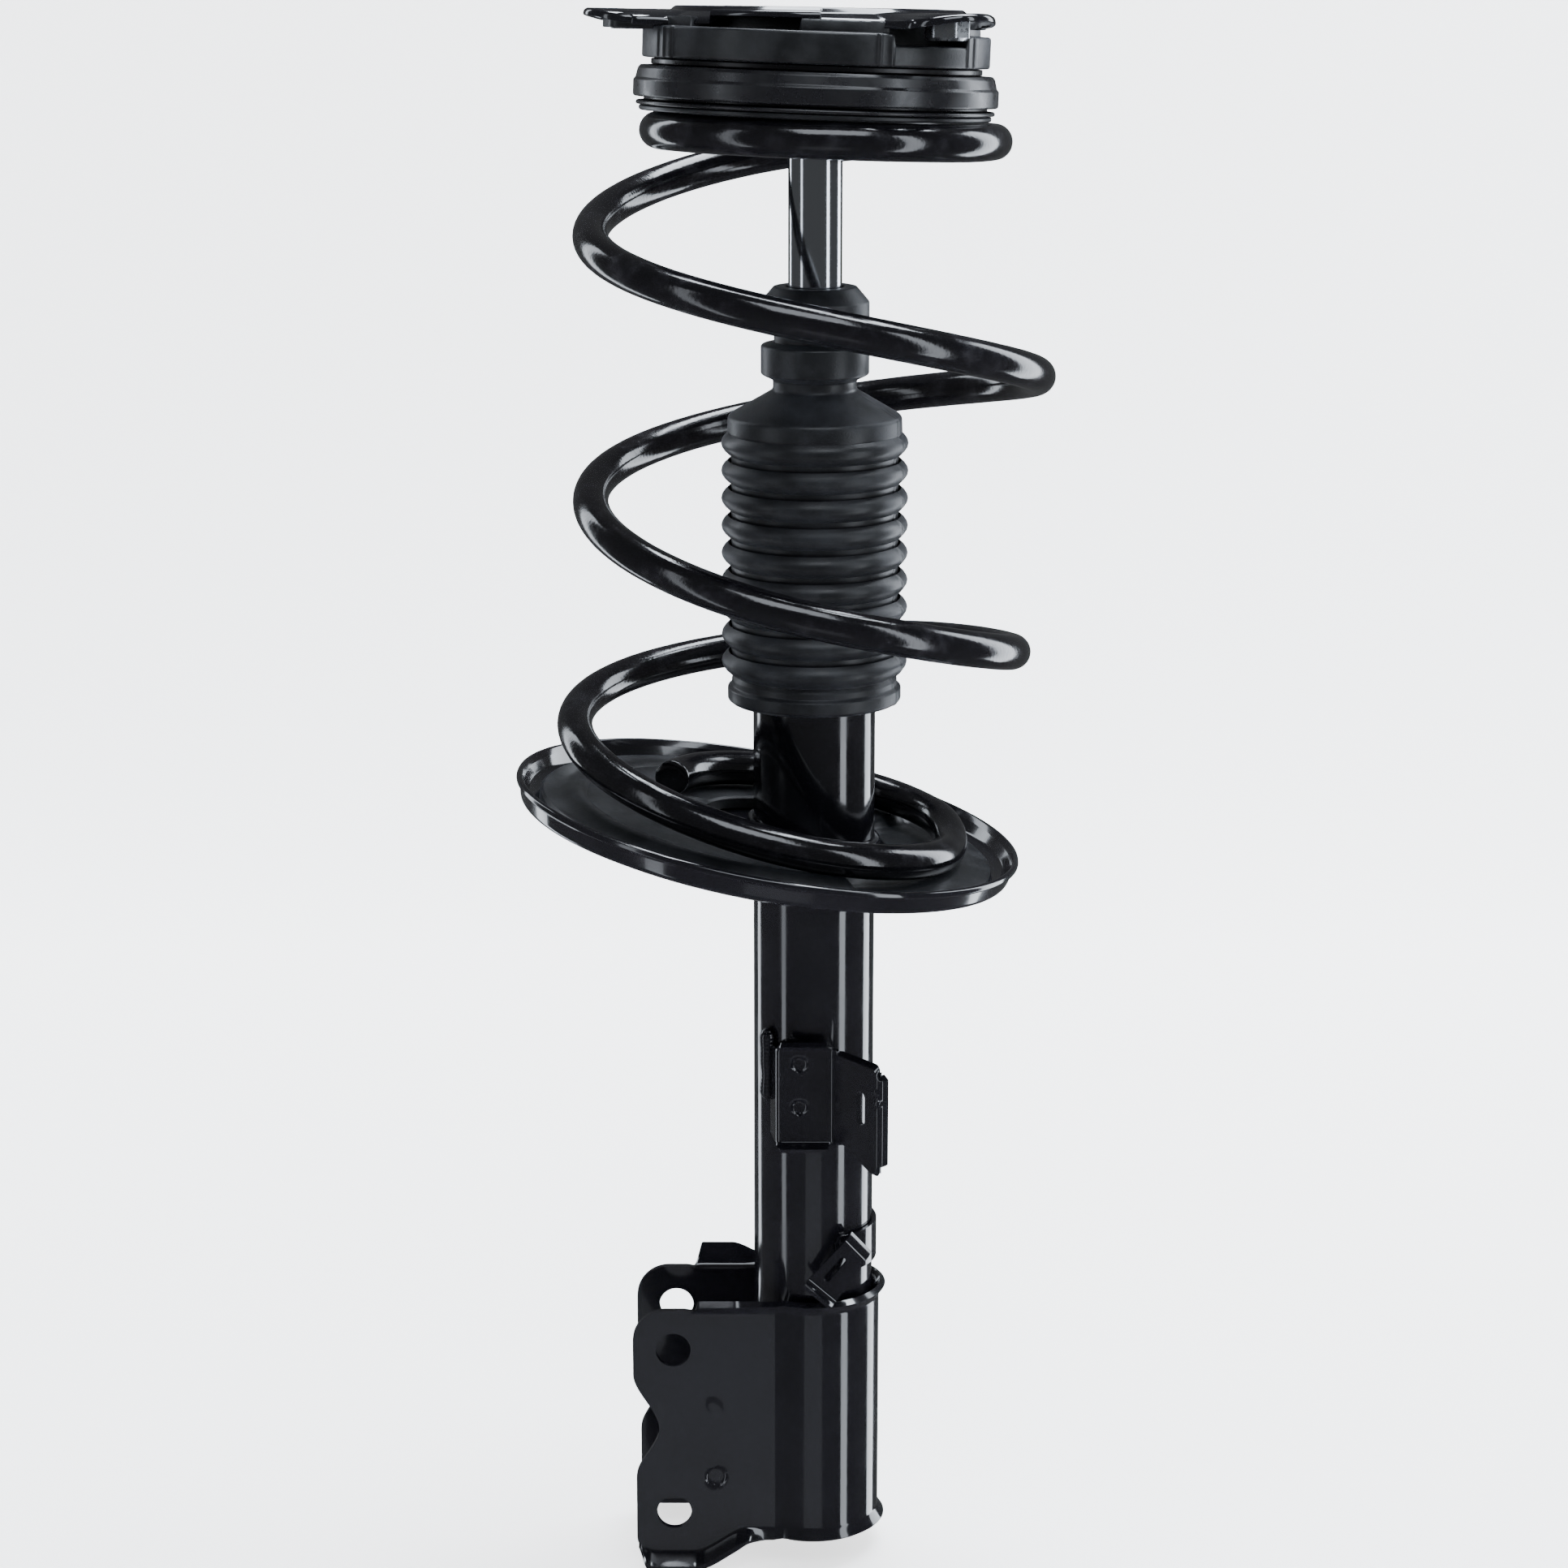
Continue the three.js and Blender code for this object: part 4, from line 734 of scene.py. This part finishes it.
def ear_tab():
    """Rubber tab with a rounded end that lies along the left ear's underside."""
    half, reach = 14.2, 85.5
    t = np.linspace(-90, 90, 41)
    tip = np.stack([reach - 5 + 5 * np.cos(np.radians(t)),
                    np.sign(t) * (half - 5) + 5 * np.sin(np.radians(t))], axis=-1)
    plan = np.concatenate([[(60.0, -half)], tip, [(60.0, half)]])
    middle = plan.mean(axis=0)
    rows = []
    for inset, z in ((3, -10.6), (0.6, -10.6), (0.15, -10.3), (0, -9.8), (0, -5.5), (0.3, -4.9),
                     (1.0, -4.6), (3, -4.6)):
        toward = plan - middle
        ring = middle + toward * (1 - inset / np.linalg.norm(toward, axis=1, keepdims=True))
        rows.append(np.column_stack([ring, np.full(len(ring), z)]))
    centre_low, centre_high = [*middle, -10.6], [*middle, -4.6]
    rows = [np.tile(centre_low, (len(plan), 1)), *rows, np.tile(centre_high, (len(plan), 1))]
    ear = math.radians(EAR_ANGLES[2])
    spin = np.eye(4)
    spin[:2, :2] = [[math.cos(ear), -math.sin(ear)], [math.sin(ear), math.cos(ear)]]
    points = placed(np.array(rows), MOUNT @ spin)
    under_plate(points)
    faces = grid_quads(len(rows), len(plan), around_columns=True)
    piece("ear_tab", points, faces, MOUNT_RUBBER, "top_mount", [])


# ------------------------------------------------------------------ folded sheet metal
def sheet(name, face, thickness, body, nodes, edge=0.35, material=None, holes=()):
    """A pressed sheet: face is a grid of points on one side, the other side lies a thickness along
    the grid's normal, and the cut edges between them are broken by a small bevel."""
    rows, columns = face.shape[:2]
    down, across = np.gradient(face, axis=0), np.gradient(face, axis=1)
    normal = np.cross(down, across)
    normal /= np.linalg.norm(normal, axis=-1, keepdims=True)
    other = face + normal * thickness
    points = np.concatenate([face.reshape(-1, 3), other.reshape(-1, 3)])
    front = grid_quads(rows, columns)
    back = front[:, ::-1] + rows * columns
    border = np.concatenate([np.arange(columns), np.arange(1, rows) * columns + columns - 1,
                             (rows - 1) * columns + np.arange(columns - 2, -1, -1),
                             np.arange(rows - 2, 0, -1) * columns])
    after = np.roll(border, -1)
    rim = np.stack([border, after, after + rows * columns, border + rows * columns], axis=-1)
    item = piece(name, points, np.concatenate([front, back, rim]), material or PAINT, body, nodes,
                 crease=32)
    for hole in holes:
        drill(item, *hole)
    bevel = item.modifiers.new("broken edge", "BEVEL")
    bevel.width, bevel.segments, bevel.limit_method = edge * MM, 2, "ANGLE"
    bevel.angle_limit = math.radians(50)
    bevel.harden_normals = False
    return item


def pressed_wall(plan, outward, low, high, low_lip, high_lip, dent=None, middle_rows=56):
    """Grid of a wall that stands along a plan line. From the bottom: a lip that leans outward, the
    wall between the heights low and high, and the top lip. A lip is (how far out, how far on) at
    each place along the plan, and bends in over its first quarter. dent moves the wall outward."""
    bend = np.array([0.04, 0.12, 0.25, 0.5, 0.75, 1.0])
    out_share = np.array([0.004, 0.05, 0.17, 0.44, 0.72, 1.0])
    rows = []

    def row(out, height):
        rows.append(np.column_stack([plan + outward * out[:, None], height]))
    for b, o in zip(bend[::-1], out_share[::-1]):
        row(low_lip[:, 0] * o, low - low_lip[:, 1] * b)
    for v in np.linspace(0, 1, middle_rows):
        height = low + (high - low) * v
        row(dent(plan, height) if dent else 0 * height, height)
    for b, o in zip(bend, out_share):
        row(high_lip[:, 0] * o, high + high_lip[:, 1] * b)
    return np.array(rows)


def plan_line(corners, spacing=0.8):
    """Points a spacing apart along straight runs and arcs between rounded corners (x, y, fillet),
    with the unit normal on the right-hand side of the way along."""
    line = [np.array(corners[0][:2], float)]
    for before, corner, after in zip(corners, corners[1:], corners[2:]):
        triple = rounded([(*before[:2], 0), corner, (*after[:2], 0)], 8)
        line.extend(triple[1:-1])
    line.append(np.array(corners[-1][:2], float))
    line = np.array(line)
    run = np.concatenate([[0], np.cumsum(np.linalg.norm(np.diff(line, axis=0), axis=1))])
    fine = np.union1d(run, np.arange(0, run[-1], spacing))
    fine = fine[np.concatenate([[True], np.diff(fine) > 0.05])]
    points = np.column_stack([np.interp(fine, run, line[:, 0]), np.interp(fine, run, line[:, 1])])
    along = np.gradient(points, axis=0)
    along /= np.linalg.norm(along, axis=1, keepdims=True)
    return points, np.column_stack([along[:, 1], -along[:, 0]]), fine


# ------------------------------------------------------------------ knuckle bracket
EAR_FACE = 27.0
EAR_END, EAR_FOLD = -77.7, -16.5
WRAP_RADIUS = 28.6
WRAP_END = 116.0
BRACKET_TOP, BRACKET_BOTTOM = -547.0, -646.0
BOLT_X, BOLTS_Z = -60.3, (-563.4, -639.0)


def ear_top(x):
    """Top edge of an ear: level, a small step down to the flange, and a round outer corner."""
    level = -546.3 + smooth_step(x, -56, -51) * (BRACKET_TOP - -546.3)
    corner = np.clip((-63.5 - x) / 14.2, 0, 1)
    return level - 14.2 * (1 - np.sqrt(1 - corner**2 + 1e-9))


def ear_bottom(x):
    """Bottom edge of an ear: a round outer corner, a level stretch and a slope up to the wrap."""
    corner = np.clip((-68.5 - x) / 9.2, 0, 1)
    level = -657.4 + (657.4 + BRACKET_BOTTOM) * smooth_step(x, -53, -27)
    return level + 7.5 * (1 - np.sqrt(1 - corner**2 + 1e-9))


def ear_edge(height):
    """The ear's outer edge, with the relief between the bolts that clears the knuckle."""
    rise, fall = smooth_step(-height, 574.5, 600), smooth_step(-height, 600, 623)
    return EAR_END + 11.1 * rise - 10.0 * fall


def knuckle_bracket():
    ear_x = np.linspace(EAR_END, EAR_FOLD, 90)
    ear_x = np.concatenate([EAR_END + np.array([0, 0.1, 0.3, 0.6, 1.0]), ear_x[2:]])
    turn = np.radians(np.linspace(-WRAP_END, WRAP_END, 120))
    front = np.column_stack([ear_x, np.full_like(ear_x, -EAR_FACE)])
    wrap = WRAP_RADIUS * np.column_stack([np.cos(turn), np.sin(turn)])
    plan = np.concatenate([front, wrap, front[::-1] * [1, -1]])
    along = np.gradient(plan, axis=0)
    along /= np.linalg.norm(along, axis=1, keepdims=True)
    window = np.hanning(15) / np.hanning(15).sum()
    along = np.column_stack([np.convolve(np.pad(along[:, i], 7, "edge"), window, "valid") for i in (0, 1)])
    along /= np.linalg.norm(along, axis=1, keepdims=True)
    outward = np.column_stack([along[:, 1], -along[:, 0]])
    x = plan[:, 0]
    is_ear = np.concatenate([np.ones(len(front)), np.zeros(len(wrap)), np.ones(len(front))])
    low = np.where(is_ear > 0, ear_bottom(x), BRACKET_BOTTOM)
    high = np.where(is_ear > 0, ear_top(x), BRACKET_TOP)
    to_wrap = smooth_step(x, -36, -19)
    top_flange = smooth_step(x, -52.5, -49.0)
    top_lip = np.column_stack([top_flange * (9.0 - 6.2 * to_wrap), 1.0 + top_flange * (5.8 - 2.2 * to_wrap)])
    low_flange = smooth_step(x, -77, -72)
    low_lip = np.column_stack([low_flange * (8.0 - 5.2 * to_wrap), 1.0 + low_flange * (2.6 + 1.0 * to_wrap)])

    def dent(places, height):
        """A round dimple and a shallow locating boss on each ear."""
        deep = np.hypot(places[:, 0] + 42.6, height + 622.6)
        faint = np.hypot(places[:, 0] + 46.0, height + 590.0)
        return (-1.2 * (1 - smooth_step(deep, 3.8, 5.2)) + 0.3 * (1 - smooth_step(faint, 3, 4.5))) * is_ear
    grid = pressed_wall(plan, outward, low, high, low_lip, top_lip, dent, 110)
    ear_columns = is_ear > 0
    nominal = (grid[:, ear_columns, 0] - EAR_FOLD) / (EAR_END - EAR_FOLD)
    edge = ear_edge(grid[:, ear_columns, 2])
    grid[:, ear_columns, 0] = EAR_FOLD + (edge - EAR_FOLD) * nominal
    holes = [((BOLT_X, 0, height), (0, 1, 0), 7.5, 90) for height in BOLTS_Z]
    sheet("clamp_bracket", grid, 2.8, "damper", ["knuckle_bracket"], 0.45, holes=holes)


# ------------------------------------------------------------------ hose bracket
HOSE_TOP, HOSE_BOTTOM = -425.4, -469.4
WING_LENGTH, WING_ANGLE = 31.0, -51.0


def hose_bracket():
    """One folded blank: the left edge turned back to the tube, the flat face, and the wing, whose
    border is turned back; the face's top and bottom flare towards the front."""
    wing = math.radians(WING_ANGLE)
    bend = np.array([7.3, -30.0])
    tip = bend + WING_LENGTH * np.array([math.cos(wing), math.sin(wing)])
    back = tip + 5.0 * np.array([-math.sin(wing), math.cos(wing)])
    plan, outward, run = plan_line([(-18.4, -19.6), (-15.6, -30.0, 3.0), (*bend, 2.2), (*tip, 2.4), (*back,)])
    total = run[-1]
    on_wing = smooth_step(run, 35.5, 37.5)
    near_tip = smooth_step(run, total - 9.5, total - 4.5)
    on_face = smooth_step(run, 9.0, 12.5) * (1 - smooth_step(run, 31, 33.5))
    corner = 4.5 * near_tip ** 2 + 1.8 * smooth_step(-run, -6, 0)
    high = HOSE_TOP - 2.0 - corner - 1.0 * on_wing
    low = HOSE_BOTTOM + 2.0 + corner + 1.0 * on_wing - 8.0 * smooth_step(run, 38, 62)
    rise = np.column_stack([2.6 * on_face - 2.6 * on_wing, 1.0 + 1.6 * on_face + 0.8 * on_wing])
    fall = np.column_stack([3.4 * on_face - 2.6 * on_wing, 1.0 + 1.4 * on_face + 0.8 * on_wing])

    def dent(places, height):
        """Two dimples on the face and two small bumps on the wing."""
        push = 0 * height
        for z in (-433.3, -452.4):
            away = np.hypot(places[:, 0] + 6.2, height - z)
            push -= 1.4 * (1 - smooth_step(away, 2.4, 3.9)) * (1 - on_wing)
        for along_wing, z in ((24.5, -438.0), (26.0, -442.5)):
            away = np.hypot(run - 36.5 - along_wing, height - z)
            push += 1.0 * (1 - smooth_step(away, 0.8, 2.2))
        return push
    grid = pressed_wall(plan, outward, low, high, fall, rise, dent, 72)
    slot = bend + 19.0 * (tip - bend) / WING_LENGTH
    normal = (-math.sin(wing), math.cos(wing), 0)
    middle = (slot[0], slot[1], (HOSE_TOP + HOSE_BOTTOM) / 2)
    sheet("folded_hose_bracket", grid, 2.3, "damper", ["hose_bracket"], 0.4,
          holes=[(middle, normal, 2.7, 16, (0, 0, 9.4))])


# ------------------------------------------------------------------ sensor wire bracket
def sensor_bracket():
    """A strap round the tube, and a tab folded out of it with a slanted slot and a turned-out end."""
    turn = np.radians(np.linspace(-70, 38, 80))
    plan = 27.4 * np.column_stack([np.cos(turn), np.sin(turn)])
    outward = plan / 27.4
    flat = np.full(len(plan), 1.0)
    ends = smooth_step(np.abs(turn - turn.mean()), 0.83, 0.94)
    lip = np.column_stack([0 * flat, flat])
    grid = pressed_wall(plan, outward, -528.0 + 3 * ends**2, -513.0 - 3 * ends**2, lip, lip, None, 16)
    sheet("wire_strap", grid, 1.5, "damper", ["sensor_wire_bracket"], 0.3)
    top, right = np.array([12.9, -31.0, -512.6]), np.array([21.4, -29.0, -522.4])
    bottom, left = np.array([9.8, -33.0, -538.2]), np.array([-1.6, -33.0, -528.2])
    u = np.linspace(0, 1, 24)[:, None, None]
    v = np.linspace(0, 1, 30)[None, :, None]
    face = (top * (1 - u) + right * u) * (1 - v) + (left * (1 - u) + bottom * u) * v
    lip_rows = [face[:, -1] + np.array([-0.42, -0.30, -0.36]) * k + np.array([0, -1, 0.25]) * (k**2) * 0.10
                for k in np.linspace(0.5, 5.2, 9)]
    fold_rows = [face[:, 0] + np.array([0.62, 0.08, 0.52]) * k + np.array([0, 1, 0]) * (k**2) * 0.16
                 for k in np.linspace(5.6, 0.6, 9)]
    face = np.concatenate([np.stack(fold_rows, axis=1), face, np.stack(lip_rows, axis=1)], axis=1)
    slope = np.array([-8.2, -0.8, -9.4]) * 0.78
    sheet("wire_tab", face, 1.7, "damper", [], 0.35,
          holes=[((9.0, -32.0, -524.6), (0, 1, 0), 1.5, 12, slope)])


# ------------------------------------------------------------------ weld beads
def bead(name, path, out, width, nodes):
    """A weld bead: half an ellipse of the given width and a height of 0.55 of it, along a path, with
    solidified ripples 1.7 mm apart and tapered ends."""
    along = np.gradient(path, axis=0)
    step = np.linalg.norm(along, axis=1)
    along /= step[:, None]
    side = np.cross(along, out)
    run = np.cumsum(step)
    ripple = 1 + 0.10 * np.abs(np.sin(math.pi * run / 1.7)) ** 0.6
    swell = ripple * (1 + 0.08 * np.sin(run / 4.3) + 0.05 * np.sin(run / 1.9))
    ends = np.clip(np.minimum(run, run[-1] - run) / (0.6 * width), 0.02, 1) ** 0.5
    t = np.linspace(-0.25, math.pi + 0.25, 15)
    half = 0.5 * width * swell * ends
    points = (path[:, None] + half[:, None, None] * np.cos(t)[None, :, None] * side[:, None]
              + (half * 1.1)[:, None, None] * np.sin(t)[None, :, None] * out[:, None])
    start, end = np.tile(path[0], (1, len(t), 1)), np.tile(path[-1], (1, len(t), 1))
    points = np.concatenate([start, points, end])
    faces = grid_quads(len(points), len(t), around_columns=True)
    piece(name, points, faces, PAINT, "damper", nodes, crease=60)


def weld_beads():
    a = np.radians(np.linspace(-172, 178, 700))
    radius = TUBE_RADIUS + 1.2
    ring = np.column_stack([radius * np.cos(a), radius * np.sin(a), 0 * a])
    collar = SEAT_Z - (SEAT_DEPTH + 9.9) / math.cos(math.radians(SEAT_TURN))
    ring[:, 2] = collar - (ring[:, 0] - SEAT_X) * math.tan(math.radians(SEAT_TURN))
    out = np.column_stack([np.cos(a), np.sin(a), -0.4 + 0 * a])
    out /= np.linalg.norm(out, axis=1, keepdims=True)
    bead("collar_weld", ring, out, 4.6, ["seat_weld"])
    z = np.linspace(-420.5, -452.5, 160)
    path = np.column_stack([-19.6 + 0 * z, -19.0 + 0 * z, z])
    out = np.tile([-0.8, -0.6, 0.0], (len(z), 1))
    bead("bracket_weld", path, out, 5.6, ["hose_bracket_weld"])


def studio():
    """A white sweep under and behind the part, one strip light right of the camera, and fill."""
    scene = bpy.context.scene
    paper, tree, shader = material("white paper sweep", "#ffffff", Roughness=0.9, Emission_Strength=1.6)
    shader.inputs["Emission Color"].default_value = colour("#ffffff")
    ground = -0.664
    profile = [(-2.2, ground)] + [(0.9 + 0.6 * math.sin(t), ground + 0.6 - 0.6 * math.cos(t))
                                  for t in np.linspace(0, math.pi / 2, 12)] + [(1.5, 2.6)]
    profile = np.array(profile)
    across = np.array([-2.4, 3.0])
    points = np.stack([np.broadcast_to(across[None, :], (len(profile), 2)),
                       np.broadcast_to(profile[:, :1], (len(profile), 2)),
                       np.broadcast_to(profile[:, 1:], (len(profile), 2))], axis=-1)
    mesh = bpy.data.meshes.new("paper_sweep")
    mesh.from_pydata(points.reshape(-1, 3).tolist(), [], grid_quads(len(profile), 2).tolist())
    mesh.shade_smooth()
    mesh.materials.append(paper)
    sweep = bpy.data.objects.new("paper_sweep", mesh)
    sweep.visible_glossy = False
    scene.collection.objects.link(sweep)

    def panel(name, azimuth, distance, height, width, tall, bright, aim=-0.35):
        """A soft box that looks at the strut from an azimuth, 0 at the camera and 90 at +X. An even
        panel's brightness times pi and its area is what it gives off."""
        data = bpy.data.lights.new(name, "AREA")
        data.shape, data.size, data.size_y = "RECTANGLE", width, tall
        data.energy = math.pi * width * tall * bright
        data.color = (0.86, 0.92, 1.0)
        lamp = bpy.data.objects.new(name, data)
        a = math.radians(azimuth)
        lamp.location = (distance * math.sin(a), -distance * math.cos(a), height)
        lamp.rotation_mode = "QUATERNION"
        lamp.rotation_quaternion = (Vector((0, 0, aim)) - lamp.location).to_track_quat("-Z", "Y")
        scene.collection.objects.link(lamp)

    panel("strip right of camera", 56, 1.7, -0.35, 0.36, 3.2, 5.0)
    panel("strip left of camera", -60, 1.7, -0.35, 0.26, 3.2, 2.4)
    panel("screen behind right", 122, 1.9, -0.3, 0.7, 3.0, 7.0)
    panel("screen behind left", -130, 1.9, -0.3, 0.36, 3.0, 4.5)
    panel("overhead", 10, 1.5, 1.9, 1.6, 1.2, 5.0)
    panel("glow in front", 0, 1.5, -1.5, 0.9, 0.7, 0.28, aim=-0.6)
    panel("paper light", 150, 0.9, 2.4, 2.4, 1.2, 20.0, aim=0.3)

    world = bpy.data.worlds.new("studio air")
    world.use_nodes = True
    world.node_tree.nodes["Background"].inputs["Color"].default_value = colour("#eef1f5")
    world.node_tree.nodes["Background"].inputs["Strength"].default_value = 0.10
    scene.world = world

    camera_data = bpy.data.cameras.new("camera")
    camera_data.lens, camera_data.sensor_width = 82.0, 36.0
    camera_data.clip_start, camera_data.clip_end = 0.05, 20
    camera = bpy.data.objects.new("camera", camera_data)
    camera.location = (-0.01264, -1.456, 0.0493)
    camera.rotation_euler = (math.radians(90 - 14.2), 0, 0)
    scene.collection.objects.link(camera)
    scene.camera = camera


def finish_cad_nodes():
    """Gives every CAD node that stays in sight its finish."""
    finishes = {
        PAINT: ["mount_plate", "upper_spring_seat", "lower_spring_seat", "knuckle_bracket",
                "hose_bracket", "sensor_wire_bracket", "seat_weld", "hose_bracket_weld"],
        MOUNT_RUBBER: ["mount_insulator", "lower_spring_pad", "rod_seal", "rebound_stop"],
        ZINC: ["weld_nut_1", "weld_nut_2", "weld_nut_3", "rod_nut"],
        STEEL: ["bearing_ball_cage", "rod_washer", "piston", "piston_nut", "rod_guide",
                "inner_tube", "base_valve", "bottom_cap"],
    }
    for finish, names in finishes.items():
        for name in names:
            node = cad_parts[name]
            for i in range(len(node.material_slots)):
                node.material_slots[i].material = finish


finish_cad_nodes()
spring()
lower_seat()
spring_pad()
mount_plate()
weld_nuts()
insulator()
knuckle_bracket()
hose_bracket()
sensor_bracket()
weld_beads()
piston_rod()
dust_boot()
bump_stop()
damper_tube()
bearing_upper_case()
bearing_lower_case()
support_ring()
upper_isolator()
studio()
